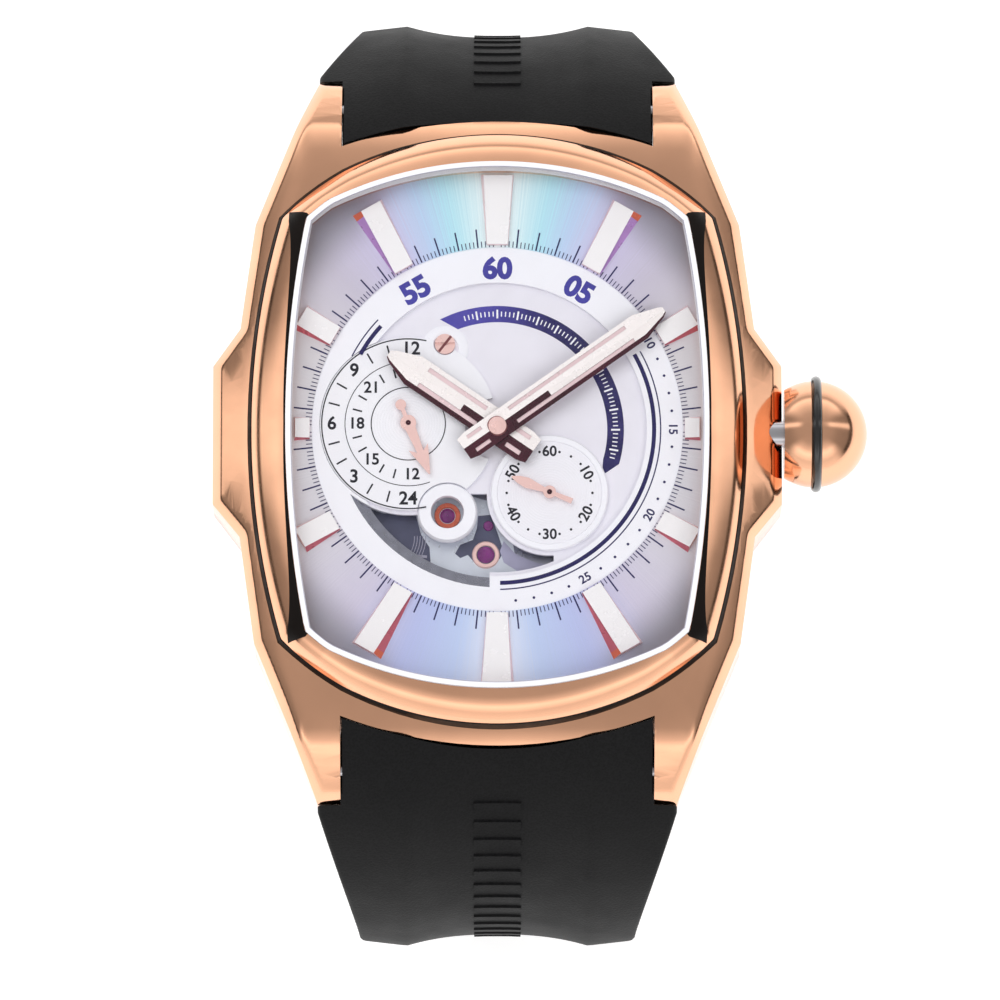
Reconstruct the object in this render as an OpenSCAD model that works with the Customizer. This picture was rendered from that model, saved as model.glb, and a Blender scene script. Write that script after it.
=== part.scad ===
/* [Crystal, dial and bezel] */
// Width of the crystal, from 9 to 3 o'clock
crystal_w = 33; // [31:0.1:35]
// Height of the crystal, from 6 to 12 o'clock
crystal_h = 41.8; // [40:0.1:44]
// Half width of the crystal between its corners
crystal_corner_x = 14.8; // [14:0.1:15.5]
// Half height of the crystal between its corners
crystal_corner_y = 17; // [16:0.1:18]
// Thickness of the crystal
crystal_t = 1.4; // [1:0.1:1.6]
// Radius of the crystal's dome
crystal_dome_r = 180; // [150:1:240]
// Width of the bezel at 3 and 9 o'clock
bezel_side = 2.8; // [2.4:0.1:3.2]
// Width of the bezel at 6 and 12 o'clock
bezel_end = 2.6; // [2.2:0.1:3]
// Rise of the bezel from its outer edge to the crystal
bezel_rise = 1.7; // [1.3:0.1:2]
// Thickness of the dial's plates
dial_t = 0.5; // [0.4:0.05:0.6]
// Radius of the round opening in the dial plate
dial_open_r = 14.5; // [14:0.1:14.8]
// Width of the white chapter ring
chapter_w = 2.8; // [2.4:0.1:3.2]
// Length of the hour markers at 12 and 6 o'clock
marker_l = 5.9; // [5:0.1:6.1]
// Height of the hour markers
marker_t = 0.45; // [0.3:0.05:0.5]

/* [Case] */
// Stand of the crown guards beyond the bezel
guard = 3; // [2.6:0.1:3.2]
// Length of the flat of each crown guard
guard_l = 11; // [9:0.5:12]
// Distance over the tips of the lugs
lug_span = 57.7; // [56.5:0.1:59]
// Width of each lug at its tip
lug_tip = 1.8; // [1.6:0.1:2]
// Depth of the middle case below the top of the dial
case_depth = 8.4; // [8.2:0.1:9]
// Bore of the middle case that holds the movement
case_bore_r = 14; // [13.8:0.1:14.6]
// Thickness of the case back
back_t = 1.2; // [1:0.1:1.5]
// Radius of the window in the case back
window_r = 11.5; // [9:0.5:12]
// Number of case back screws
back_screws = 6; // [4:1:8]

/* [Crown] */
// Radius of the ball crown
crown_r = 4.19; // [3.8:0.05:4.3]
// Distance from the dial's centre to the crown's centre
crown_x = 24.8; // [24.6:0.1:25.4]
// Radius of the cord of the crown's ring
crown_ring_r = 0.42; // [0.3:0.02:0.5]
// Radius of the winding stem
stem_r = 0.5; // [0.4:0.05:0.6]
// Travel of the crown when it is pulled out
crown_travel = 0.9; // [0.6:0.1:1.2]

/* [Strap] */
// Width of the strap between the lugs
strap_w = 24.2; // [23:0.1:25]
// Width of the strap where its fast taper under the lugs ends
strap_neck_w = 22; // [21:0.1:23]
// Width of the strap at the clasp
strap_end_w = 19.6; // [17:0.1:20]
// Thickness of the strap
strap_t = 3.8; // [3.4:0.1:4]
// Half width of the hollow along the strap's outside
hollow_w = 7.2; // [6:0.1:8]
// Depth of that hollow
hollow_d = 0.9; // [0.5:0.1:1.2]
// Half length of the closed strap, outside
loop_y = 37; // [36.6:0.1:37.6]
// Outer radius of the strap above its widest point
loop_r_up = 26.3; // [26:0.1:26.8]
// Outer radius of the strap below its widest point
loop_r_low = 27.2; // [26.8:0.1:27.6]
// Radius of the spring bars
bar_r = 0.9; // [0.7:0.05:1]

/* [Clasp] */
// Half length of the clasp between its two strap pins
clasp_l = 16; // [15.6:0.1:16.4]
// Width of the clasp's cover
cover_w = 22.4; // [22.2:0.1:24]
// Width of the clasp's blades
blade_w = 12; // [9:0.5:14]
// Thickness of the clasp's cover
cover_t = 1; // [0.8:0.1:1.1]
// Thickness of the clasp's blades
blade_t = 0.8; // [0.6:0.1:0.8]
// Gap between the leaves of the folded clasp
leaf_gap = 0.3; // [0.25:0.05:0.4]
// Radius of the clasp's hinge pins
hinge_pin_r = 0.5; // [0.4:0.05:0.55]
// Travel of the clasp's push buttons
button_travel = 0.6; // [0.4:0.1:0.8]

/* [Hands] */
// Length of the minute hand from the centre
minute_l = 16; // [14:0.1:16.2]
// Length of the hour hand from the centre
hour_l = 10.3; // [9:0.1:11]
// Width of the hour hand
hour_w = 2.6; // [2:0.1:3]
// Width of the minute hand
minute_w = 2.2; // [1.8:0.1:2.6]
// Thickness of the hands
hand_t = 0.25; // [0.2:0.01:0.28]
// Minutes after ten o'clock that the hands show
minutes = 9.1; // [0:0.1:59]

/* [Movement] */
// Radius of the movement
move_r = 12.8; // [12.6:0.1:13]
// Module of the centre and third wheels' teeth
gear_m = 0.11; // [0.1:0.005:0.115]
// Module of the fourth wheel's teeth
fourth_m = 0.09; // [0.08:0.005:0.095]
// Module of the teeth under the dial
motion_m = 0.085; // [0.084:0.001:0.09]
// Module of the barrel's teeth
barrel_m = 0.14; // [0.13:0.005:0.145]
// Radius of the balance wheel
balance_r = 4.2; // [3.8:0.1:4.3]
// Radius of the rotor
rotor_r = 12.3; // [11:0.1:12.4]
// Radius of the train's arbors
arbor_r = 0.25; // [0.2:0.01:0.3]
// Radius of the screws' shanks in the movement
screw_r = 0.3; // [0.25:0.01:0.4]

/* [Hidden] */
$fn = 96;

eps = 0.01;
fit = 0.05;
loose = 0.15;
big = 100;

function arc_r(rise, chord) = (rise * rise + chord * chord) / (2 * rise);
function polar(r, a) = [r * cos(a), r * sin(a)];
function angle_of(v) = atan2(v[1], v[0]);
// Third corner of a triangle on the line a to b, with sides da and db, to the left of that line
function meet(a, b, da, db) =
    let (d = norm(b - a), u = (b - a) / d, along = (da * da - db * db + d * d) / (2 * d),
        off = sqrt(da * da - along * along))
    a + u * along + [-u[1], u[0]] * off;

// Plan of the crystal, dial and bezel
crystal_hw = crystal_w / 2;
crystal_hh = crystal_h / 2;
bezel_hw = crystal_hw + bezel_side;
bezel_hh = crystal_hh + bezel_end;
bezel_corner_x = crystal_corner_x + 1.9;
bezel_corner_y = crystal_corner_y + 0.5;
corner_cut = 0.35;
flank_drop = 0.55;
ledge = 0.45;
dial_lip = 0.15;
skirt_t = 1.2;
bezel_wall = 1.1;
bezel_low = 0.15;
bezel_edge = 0.3;
groove_w = 0.25;
groove_d = 0.4;

// Plan of the case
guard_x = bezel_hw + guard;
waist_x = bezel_hw + 0.85;
waist_y = guard_l / 2 + 2.8;
knee_x = bezel_corner_x + 2.3;
knee_y = bezel_corner_y - 0.8;
lug_y = lug_span / 2;
lug_in_x = strap_w / 2 + loose;
lug_out_x = lug_in_x + lug_tip;
shoulder = 1.4;
recess_y = bezel_hh + shoulder;
recess_drop = 2.2;

// Heights, all from the floor under the clasp
loop_z = loop_r_low + 0.8;
dial_z = loop_z + 23;
bezel_out_z = dial_z + bezel_edge;
bezel_in_z = bezel_out_z + bezel_rise;
// Height of a layer of the movement, as a share of the case's depth under the dial
function level(share) = dial_z - share * case_depth;
case_low = level(1);
stem_z = level(0.274);
lug_low = case_low - 3.2;
back_step = 0.35;
window_seat = 0.5;
back_low = case_low - back_t;
crystal_top = bezel_in_z + 1.4;
screw_ring_r = case_bore_r + 2.2;
tube_bore = stem_r + 0.55;
tube_end_x = guard_x + crown_travel + 1.2;
dome_z = crystal_top - crystal_dome_r;

// Centres of the strap's outside arcs
up_y = loop_y - loop_r_up;
low_y = loop_y - loop_r_low;
strap_start = 156;
neck_12 = loop_z + 6;
neck_6 = loop_z - 2;
join_a = 2;
end_a = asin((clasp_l - low_y - 1.6) / loop_r_low);
lug_r = loop_r_up - 0.4;
bar_y = up_y + (loop_r_up - strap_t / 2) * cos(50);
bar_z = loop_z + (loop_r_up - strap_t / 2) * sin(50);
pin_y = clasp_l;
pin_z = loop_z - sqrt(pow(loop_r_low - strap_t / 2, 2) - pow(pin_y - low_y, 2));

// Clasp leaves
blade_z = cover_t + leaf_gap;
base_z = blade_z + blade_t + leaf_gap;
base_top = base_z + blade_t;
fold_y = -clasp_l + 3.1;
fold_r = hinge_pin_r + 0.55;
fold_z = (blade_z + base_top) / 2;
cover_y = clasp_l - 3.1;
cover_r = hinge_pin_r + 0.45;
cover_z = base_z - loose - cover_r;
knuckle_w = blade_w / 3;
button_y = -4;
button_z = cover_t + 0.95;
button_r = 0.7;
wall_t = 1;
ear_r = bar_r * 0.6 + 0.6;
pin_r = bar_r * 0.6;

// Places on the dial
ring_in_r = dial_open_r - chapter_w;
bridge_lap = 0.5;
dual_c = [-6.96, 0.42];
dual_r = 6.9;
sec_c = [4.08, -5.09];
sec_r = 4.6;
heart_c = [-3.9, -6.6];
heart_r = 1.27;
boss_r = 2.35;
window_out_r = 12.6;
window_jewel_c = [-0.9, -9.7];
screw_c = [-4.1, 6.8];
bridge_t = dial_t - 0.1;
bridge_z = dial_z - dial_t - bridge_t;
sub_z = bridge_z + bridge_t;
minute_a = minutes * 6;
hour_a = 300 + minutes / 2;
dual_a = 157.7;
sec_a = 292.4;
small_z = dial_z + 0.12;
hour_z = dial_z + 0.5;
minute_z = hour_z + hand_t + 0.15;
pipe_r = 0.42;
stem_in = 9.6;
fork_x = stem_in + 1.4;
lever_w = 2.6;
slot_w = lever_w + 0.6;
slot_z = stem_z - 0.55;
tube_r = 0.75;

// Movement
plate_z = level(0.381);
plate_t = 0.155 * case_depth;
minute_gear_z = plate_z + plate_t + 0.1;
motion_z = minute_gear_z + 0.35;
motion_t = 0.25;
hour_n = 48;
dual_n = 2 * hour_n;
minute_pin_n = 12;
minute_n = 45;
cannon_n = 15;
minute_c = meet(dual_c, [0, 0], motion_m * (minute_pin_n + dual_n) / 2, motion_m * (minute_n + cannon_n) / 2);
minute_to_centre = atan2(-minute_c[1], -minute_c[0]);
minute_to_dual = atan2(dual_c[1] - minute_c[1], dual_c[0] - minute_c[0]);
minute_phase = minute_to_centre + 180 / minute_pin_n;
dual_phase = minute_to_dual + 180 + 180 / dual_n - (minute_phase - minute_to_dual) * minute_pin_n / dual_n;
train_z = level(0.667);
bridge_low = train_z - 0.6;
rotor_z = level(0.857);
centre_z = level(0.571);
third_z = level(0.631);
fourth_z = level(0.488);
escape_z = level(0.434);
fork_z = level(0.494);
fork_low = fork_z - 0.3;
barrel_low = level(0.536);
balance_z = level(0.619);
wheel_t = 0.2;
rotor_t = 0.35;
rim_t = 0.9;
bearing_r = 1.7;
barrel_n = 78;
centre_pin_n = 12;
centre_n = 80;
third_n = 75;
pin_n = 10;
fourth_n = 84;
escape_pin_n = 7;
escape_n = 20;
escape_r = 1.9;
barrel_d = barrel_m * (barrel_n + centre_pin_n) / 2;
third_d = gear_m * (centre_n + pin_n) / 2;
fourth_d = gear_m * (third_n + pin_n) / 2;
escape_d = fourth_m * (fourth_n + escape_pin_n) / 2;
barrel_c = polar(barrel_d, 124);
third_c = meet([0, 0], sec_c, third_d, fourth_d);
escape_c = meet(sec_c, heart_c, escape_d, balance_r + 0.4);
fork_c = heart_c + (escape_c - heart_c) * 0.46;
jewel_r = 0.75;
bridge_screw_r = move_r - 1.2;
bridge_screw_a = [10, 75, 160, 195, 320];
cock_c = polar(bridge_screw_r, angle_of(heart_c) - 24);
fork_foot = fork_c + [0.4, -3];
barrel_to_centre = angle_of(-barrel_c);
centre_to_third = angle_of(third_c);
third_to_fourth = angle_of(sec_c - third_c);
fourth_to_escape = angle_of(escape_c - sec_c);

// Outline of four arcs through the ends of its axes and its corners
module tonneau(hw, hh, cx, cy, grow = 0) {
    side_r = arc_r(hw - cx, cy);
    end_r = arc_r(hh - cy, cx);
    intersection() {
        circle(norm([cx, cy]) - corner_cut + grow);
        translate([hw - side_r, 0]) circle(side_r + grow, $fn = 360);
        translate([side_r - hw, 0]) circle(side_r + grow, $fn = 360);
        translate([0, hh - end_r]) circle(end_r + grow, $fn = 360);
        translate([0, end_r - hh]) circle(end_r + grow, $fn = 360);
    }
}

module glass_plan(grow = 0) {
    tonneau(crystal_hw, crystal_hh, crystal_corner_x, crystal_corner_y, grow);
}

module bezel_plan(grow = 0) {
    tonneau(bezel_hw, bezel_hh, bezel_corner_x, bezel_corner_y, grow);
}

// Slab between two heights
module slab(low, high) {
    translate([0, 0, low]) linear_extrude(high - low) children();
}

module at_dial(c, z = 0) {
    translate([c[0], c[1], z]) children();
}

// Turns a 2D shape drawn with 12 o'clock up
module turned(a) {
    rotate(-a) children();
}

// Extrudes a shape drawn in Y and Z along X
module along_x(x0, x1) {
    translate([x0, 0, 0]) rotate([90, 0, 90]) linear_extrude(x1 - x0) children();
}

// Extrudes a shape drawn in X and Z along Y
module along_y(y0, y1) {
    translate([0, y1, 0]) rotate([90, 0, 0]) linear_extrude(y1 - y0) children();
}

module rod_x(r, x0, x1, y, z) {
    translate([x0, y, z]) rotate([0, 90, 0]) cylinder(r = r, h = x1 - x0);
}

module both_ends() {
    children();
    rotate(180) children();
}

// Cone whose wall falls outward at the bezel's slope, about an arc's own centre
module slope_cone(c, r, z, drop, run) {
    reach = 14;
    translate([c[0], c[1], z - reach * drop / run])
        cylinder(r1 = r + reach, r2 = r - reach / 2, h = 1.5 * reach * drop / run, $fn = 720);
}

module bezel() {
    side_r = arc_r(bezel_hw - bezel_corner_x, bezel_corner_y);
    end_r = arc_r(bezel_hh - bezel_corner_y, bezel_corner_x);
    color("#d79a78") difference() {
        intersection() {
            slab(dial_z - bezel_wall, bezel_in_z + 1) bezel_plan();
            slope_cone([bezel_hw - side_r, 0], side_r, bezel_out_z, bezel_rise, bezel_side);
            slope_cone([side_r - bezel_hw, 0], side_r, bezel_out_z, bezel_rise, bezel_side);
            slope_cone([0, bezel_hh - end_r], end_r, bezel_out_z, bezel_rise, bezel_end);
            slope_cone([0, end_r - bezel_hh], end_r, bezel_out_z, bezel_rise, bezel_end);
        }
        slab(dial_z + 0.85, bezel_in_z + 2) glass_plan(fit);
        slab(dial_z - bezel_wall - eps, dial_z + 1) glass_plan(-ledge);
        slab(dial_z - bezel_wall - eps, dial_z + fit) glass_plan(dial_lip + fit);
        slab(dial_z - bezel_wall - eps, dial_z - bezel_low) difference() {
            square(2 * big, center = true);
            glass_plan(dial_lip + skirt_t);
        }
    }
}

module dome(lower = 0) {
    translate([0, 0, dome_z]) sphere(r = crystal_dome_r - lower, $fn = 400);
}

module crystal() {
    color("#dfeaf2", 0.35) intersection() {
        difference() {
            slab(dial_z + 0.95, crystal_top + 1) glass_plan();
            dome(crystal_t);
        }
        dome();
    }
}

module crystal_gasket() {
    color("#f2f2ee") slab(dial_z + 0.85, dial_z + 0.95) difference() {
        glass_plan();
        glass_plan(-ledge);
    }
}

// Outline of the case in plan, the same on all four sides
module case_plan() {
    quarter = [[guard_x, guard_l / 2], [waist_x, waist_y], [knee_x, knee_y], [lug_out_x, lug_y]];
    n = len(quarter) - 1;
    polygon(concat(
        quarter,
        [for (i = [n:-1:0]) [-quarter[i][0], quarter[i][1]]],
        -quarter,
        [for (i = [n:-1:0]) [quarter[i][0], -quarter[i][1]]]));
}

// Side view of the case: flat over the dial, then down along the lugs
module case_side() {
    low = [[21, -case_depth], [lug_y - 2.8, -case_depth - 2.4], [lug_y - 0.9, -case_depth - 2.6],
        [lug_y, -case_depth - 1.6], [lug_y, -bezel_low]];
    n = len(low) - 1;
    translate([0, dial_z]) intersection() {
        polygon(concat(low, [for (i = [n:-1:0]) [-low[i][0], low[i][1]]]));
        union() {
            for (s = [-1, 1]) translate([s * up_y, loop_z - dial_z]) circle(lug_r, $fn = 360);
            translate([-bezel_hh - 0.2, -20]) square([2 * bezel_hh + 0.4, 21]);
        }
    }
}

module recess_plan(grow = 0) {
    end_r = arc_r(recess_drop, lug_in_x);
    difference() {
        translate([-lug_in_x - grow, 0]) square([2 * (lug_in_x + grow), 2 * lug_y]);
        translate([0, recess_y - end_r]) circle(end_r - grow, $fn = 360);
    }
}

module case_middle() {
    side_r = arc_r(bezel_hw - bezel_corner_x, bezel_corner_y);
    top = dial_z - bezel_low;
    color("#d79a78") difference() {
        intersection() {
            slab(dial_z - 20, dial_z + 1) case_plan();
            along_x(-big, big) case_side();
            slope_cone([bezel_hw - side_r, 0], side_r, top, flank_drop, 1);
            slope_cone([side_r - bezel_hw, 0], side_r, top, flank_drop, 1);
        }
        slab(top, dial_z + 2) bezel_plan(fit);
        slab(top - groove_d, dial_z + 2) difference() {
            bezel_plan(groove_w);
            bezel_plan(-fit);
        }
        slab(dial_z - dial_t, dial_z + 2) glass_plan(dial_lip + skirt_t + fit);
        slab(dial_z - bezel_wall - fit, dial_z + 2) difference() {
            glass_plan(dial_lip + skirt_t + fit);
            glass_plan(dial_lip);
        }
        translate([0, 0, dial_z - 30]) cylinder(r = case_bore_r, h = 31);
        both_ends() slab(0, dial_z + 2) recess_plan();
        both_ends() rod_x(bar_r * 0.6 + fit, -lug_in_x - 0.8, lug_in_x + 0.8, bar_y, bar_z);
        rod_x(tube_bore, case_bore_r + 0.3, guard_x + 1, 0, stem_z);
        rod_x(stem_r + 0.3, case_bore_r - 1, case_bore_r + 0.31, 0, stem_z);
        for (i = [0:back_screws - 1]) rotate(i * 360 / back_screws)
            translate([screw_ring_r, 0, case_low - eps]) cylinder(r = 0.4, h = 1.4);
        translate([0, 0, case_low - eps]) cylinder(r = case_bore_r + 0.6, h = 0.5);
    }
}

module case_back() {
    color("#c9c9cb") difference() {
        union() {
            translate([0, 0, back_low]) cylinder(r = screw_ring_r + 1.8, h = back_t);
            translate([0, 0, case_low - eps]) cylinder(r = case_bore_r - fit, h = back_step + eps);
        }
        translate([0, 0, back_low - eps]) cylinder(r = window_r - 0.5, h = back_t + 1);
        translate([0, 0, back_low + window_seat]) cylinder(r = window_r, h = back_t + 1);
        for (i = [0:back_screws - 1]) rotate(i * 360 / back_screws)
            translate([screw_ring_r, 0, back_low - eps]) {
                cylinder(r = 0.4, h = back_t + 1);
                cylinder(r = 0.9, h = 0.45 + eps);
            }
    }
}

module back_window() {
    color("#dfe8ea", 0.35) translate([0, 0, back_low + window_seat])
        cylinder(r = window_r, h = back_t - window_seat);
}

module back_gasket() {
    color("#202020") translate([0, 0, case_low]) difference() {
        cylinder(r = case_bore_r + 0.55, h = 0.48);
        translate([0, 0, -1]) cylinder(r = case_bore_r, h = 3);
    }
}

module back_screws_set() {
    color("#b8b8ba") for (i = [0:back_screws - 1]) rotate(i * 360 / back_screws)
        translate([screw_ring_r, 0, back_low]) difference() {
            union() {
                cylinder(r = 0.4, h = back_t + 1.3);
                cylinder(r = 0.85, h = 0.45);
            }
            translate([-1, -0.12, -eps]) cube([2, 0.24, 0.2]);
        }
}

// Ball crown, turned about the stem's axis
module crown_profile() {
    difference() {
        intersection() {
            circle(crown_r);
            translate([0, -big]) square([big, 2 * big]);
            translate([-2 * big, guard_x + loose - crown_x]) square([4 * big, big]);
        }
        translate([crown_r - 0.05, 0.15]) circle(crown_ring_r);
        translate([-1, guard_x - crown_x]) square([stem_r + 0.98, crown_x - guard_x + 1.15]);
        translate([-1, guard_x - crown_x]) square([1 + tube_bore + 4 * fit, tube_end_x - guard_x + 6 * fit]);
    }
}

module on_stem() {
    translate([crown_x, 0, stem_z]) rotate([0, 90, 0]) children();
}

module crown() {
    color("#d79a78") on_stem() rotate_extrude() crown_profile();
}

module crown_ring() {
    color("#101012") on_stem() rotate_extrude()
        translate([crown_r - 0.05, 0.15]) circle(crown_ring_r);
}

module winding_stem() {
    color("#c4c4c6") difference() {
        rod_x(stem_r - 0.02, stem_in, crown_x + 1.15, 0, stem_z);
        translate([fork_x, 0, stem_z]) rotate([0, 90, 0]) difference() {
            cylinder(r = 2, h = 0.5);
            translate([0, 0, -1]) cylinder(r = stem_r - 0.18, h = 3);
        }
    }
}

module crown_tube() {
    color("#c9c9cb") translate([case_bore_r + 0.3, 0, stem_z]) rotate([0, 90, 0]) difference() {
        cylinder(r = tube_bore, h = tube_end_x - case_bore_r - 0.3);
        translate([0, 0, -1]) cylinder(r = stem_r + 0.06, h = 30);
        translate([0, 0, 2]) cylinder(r = stem_r + 0.3, h = 0.7);
    }
}

module stem_gasket() {
    color("#18181a") translate([case_bore_r + 2.3, 0, stem_z]) rotate([0, 90, 0]) difference() {
        cylinder(r = stem_r + 0.3, h = 0.7);
        translate([0, 0, -1]) cylinder(r = stem_r + 0.02, h = 3);
    }
}

// Lever whose fork rides in the stem's groove
module setting_lever() {
    gap = stem_r - 0.14;
    color("#b9bcc0") translate([fork_x + fit, 0, stem_z]) difference() {
        translate([0, -lever_w / 2, -0.42]) cube([0.4, lever_w, 0.9]);
        translate([-1, 0, 0]) rotate([0, 90, 0]) cylinder(r = gap, h = 3);
        translate([-1, -gap, 0]) cube([3, 2 * gap, 2]);
    }
}

module dial_plate() {
    color("#dcdce2") slab(dial_z - dial_t, dial_z) difference() {
        glass_plan(dial_lip);
        circle(dial_open_r);
    }
}

module chapter_ring() {
    color("#f6f6fa") slab(dial_z - dial_t, dial_z - 0.1) difference() {
        circle(dial_open_r);
        circle(ring_in_r);
        translate(dual_c) circle(dual_r + fit);
        heart_window();
    }
}

// Opening beside the balance through which the movement shows
module heart_window() {
    difference() {
        union() {
            circle(ring_in_r - 0.35);
            intersection() {
                circle(window_out_r);
                translate([-2 * big - 0.6, -big]) square(2 * big);
            }
        }
        translate([-big, -5.1]) square(2 * big);
        translate(dual_c) circle(dual_r + 0.3);
        translate(heart_c) circle(boss_r);
        translate(sec_c) circle(sec_r + 0.3);
        translate([4.4, -big]) square(2 * big);
    }
}

module dial_bridge() {
    color("#f2f2f6") slab(bridge_z, bridge_z + bridge_t) difference() {
        circle(ring_in_r + bridge_lap);
        heart_window();
        translate(heart_c) circle(heart_r);
        circle(tube_r + 0.15);
        translate(dual_c) circle(0.45);
        translate(sec_c) circle(0.4);
        translate(screw_c) circle(0.35);
    }
}

module dual_time_dial() {
    color("#f8f8fb") slab(sub_z, sub_z + 0.35) difference() {
        translate(dual_c) circle(dual_r);
        translate(dual_c) circle(0.45);
        circle(2.5);
        translate(screw_c) circle(0.9);
        translate(heart_c) circle(boss_r);
        translate(sec_c) circle(sec_r + 0.1);
    }
}

module seconds_dial() {
    color("#f8f8fb") slab(sub_z, sub_z + 0.3) difference() {
        intersection() {
            translate(sec_c) circle(sec_r);
            circle(ring_in_r);
        }
        translate(sec_c) circle(0.4);
        circle(1.1);
    }
}

// Tapered hour marker that points to the centre, as far as the edge of the crystal
module marker(a) {
    turned(a) polygon([[-0.85, dial_open_r + 0.1], [0.85, dial_open_r + 0.1], [1.5, 24], [-1.5, 24]]);
}

module hour_markers() {
    color("#fbf6f6") slab(dial_z, dial_z + marker_t) intersection() {
        for (i = [0:11]) marker(i * 30);
        glass_plan(-ledge - 0.15);
        circle(dial_open_r + marker_l);
    }
}

module dial_screw() {
    color("#d8b8b0") at_dial(screw_c, sub_z - bridge_t - 0.3) difference() {
        union() {
            cylinder(r = 0.35, h = bridge_t + 0.4);
            translate([0, 0, bridge_t + 0.3]) cylinder(r = 0.8, h = 0.3);
        }
        translate([-1, -0.11, bridge_t + 0.45]) cube([2, 0.22, 1]);
    }
}

// Main hand along +Y: blade, pointed tip, slot and counterweight
module hand_plan(l, w, tail) {
    difference() {
        union() {
            polygon([[-w / 2, -tail], [w / 2, -tail], [w / 2, l - 2.6], [w / 4, l - 0.5], [0.15, l],
                [-0.15, l], [-w / 4, l - 0.5], [-w / 2, l - 2.6]]);
            circle(w / 2 + 0.1);
        }
        translate([-w / 2 + 0.45, 1.7]) square([w / 2 - 0.62, l - 6]);
    }
}

module hour_hand() {
    color("#e9c9c0") at_dial([0, 0], hour_z) difference() {
        linear_extrude(hand_t) turned(hour_a) hand_plan(hour_l, hour_w, 3.4);
        translate([0, 0, -1]) cylinder(r = tube_r, h = 3);
    }
}

module minute_hand() {
    color("#e9c9c0") at_dial([0, 0], minute_z) difference() {
        linear_extrude(hand_t) turned(minute_a) hand_plan(minute_l, minute_w, 3.2);
        translate([0, 0, -1]) cylinder(r = pipe_r, h = 3);
    }
}

module hand_cap() {
    color("#e2b5a8") at_dial([0, 0], minute_z + hand_t) union() {
        cylinder(r = 0.7, h = 0.12);
        translate([0, 0, 0.1]) cylinder(r1 = 0.7, r2 = 0.35, h = 0.15);
    }
}

module dual_time_hand() {
    color("#e2b5a8") at_dial(dual_c, small_z) difference() {
        union() {
            linear_extrude(hand_t * 0.7) turned(dual_a) {
                circle(0.62);
                translate([0, -1.55]) circle(0.42);
                translate([-0.16, -1.5]) square([0.32, 3]);
                polygon([[-0.42, 0.3], [0.42, 0.3], [0.26, 2.5], [-0.26, 2.5]]);
                polygon([[-0.8, 2.1], [-0.26, 2.5], [0.26, 2.5], [0.8, 2.1], [0.06, 4.4], [-0.06, 4.4]]);
            }
            translate([0, 0, -1.1]) cylinder(r = 0.3, h = 1.2);
        }
        translate([0, 0, -2]) cylinder(r = 0.12, h = 2.1);
    }
}

module seconds_hand() {
    color("#e2b5a8") at_dial(sec_c, small_z) union() {
        linear_extrude(hand_t * 0.7) turned(sec_a) {
            circle(0.5);
            polygon([[-0.12, 0], [0.12, 0], [0.42, 1.9], [0.3, 2.6], [0.05, 3.2], [-0.05, 3.2],
                [-0.3, 2.6], [-0.42, 1.9]]);
            polygon([[-0.14, 0], [0.14, 0], [0.22, -1.9], [-0.22, -1.9]]);
        }
        translate([0, 0, -0.9]) cylinder(r = 0.28, h = 0.9);
    }
}

// Gear tooth corners: share of the pitch from the tooth's middle, and height in modules
tooth = [[-0.3, -1.1], [-0.15, 0.8], [0.15, 0.8], [0.3, -1.1]];

module gear_plan(n, m) {
    polygon([for (i = [0:n - 1], p = tooth) polar(n * m / 2 + p[1] * m, (i + p[0]) * 360 / n)]);
}

// Wheel with five crossings
module wheel_plan(n, m, hub) {
    rim = n * m / 2 - 3.4 * m;
    difference() {
        gear_plan(n, m);
        difference() {
            circle(rim);
            circle(hub);
            for (i = [0:4]) rotate(i * 72) translate([0, -0.16]) square([rim + 1, 0.32]);
        }
    }
}

module arbor(c, z0, z1) {
    at_dial(c, z0) cylinder(r = arbor_r, h = z1 - z0);
}

module pinion(c, n, m, z0, z1, a) {
    at_dial(c, z0) rotate(a) linear_extrude(z1 - z0) gear_plan(n, m);
}

module wheel(c, n, m, z, t, a, hub = 0.8) {
    at_dial(c, z) rotate(a) linear_extrude(t) wheel_plan(n, m, hub);
}

module main_plate() {
    color("#c8c9d0") difference() {
        union() {
            at_dial([0, 0], plate_z) cylinder(r = move_r, h = plate_t);
            at_dial(minute_c, plate_z) cylinder(r = arbor_r, h = motion_z + motion_t - plate_z);
        }
        at_dial([0, 0], plate_z - 1) cylinder(r = 0.55, h = 5);
        for (c = [barrel_c, third_c, sec_c, escape_c, fork_c, heart_c, window_jewel_c])
            at_dial(c, plate_z - 1) cylinder(r = jewel_r, h = 5);
        at_dial(dual_c, motion_z - 1.05) cylinder(r = arbor_r + fit, h = 5);
        for (a = bridge_screw_a) at_dial(polar(bridge_screw_r, a), plate_z - 1) cylinder(r = screw_r, h = 5);
        stem_slot();
    }
}

// Slot that the stem and its lever lie in
module stem_slot() {
    translate([stem_in - 0.4, -slot_w / 2, slot_z]) cube([9, slot_w, 1.3]);
}

module jewels() {
    color("#c02454") {
        for (c = [barrel_c, third_c, sec_c, escape_c, fork_c, heart_c])
            at_dial(c, plate_z) difference() {
                cylinder(r = jewel_r, h = 0.5);
                translate([0, 0, -1]) cylinder(r = arbor_r + fit, h = c == sec_c ? 3 : 1.35);
            }
        for (c = [heart_c, window_jewel_c])
            at_dial(c, plate_z + plate_t - 0.45) cylinder(r = jewel_r, h = 0.45);
        for (c = [barrel_c, third_c, sec_c, escape_c])
            at_dial(c, train_z - 0.5) difference() {
                cylinder(r = jewel_r, h = 0.5);
                translate([0, 0, 0.15]) cylinder(r = arbor_r + fit, h = 2);
            }
    }
}

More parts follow.
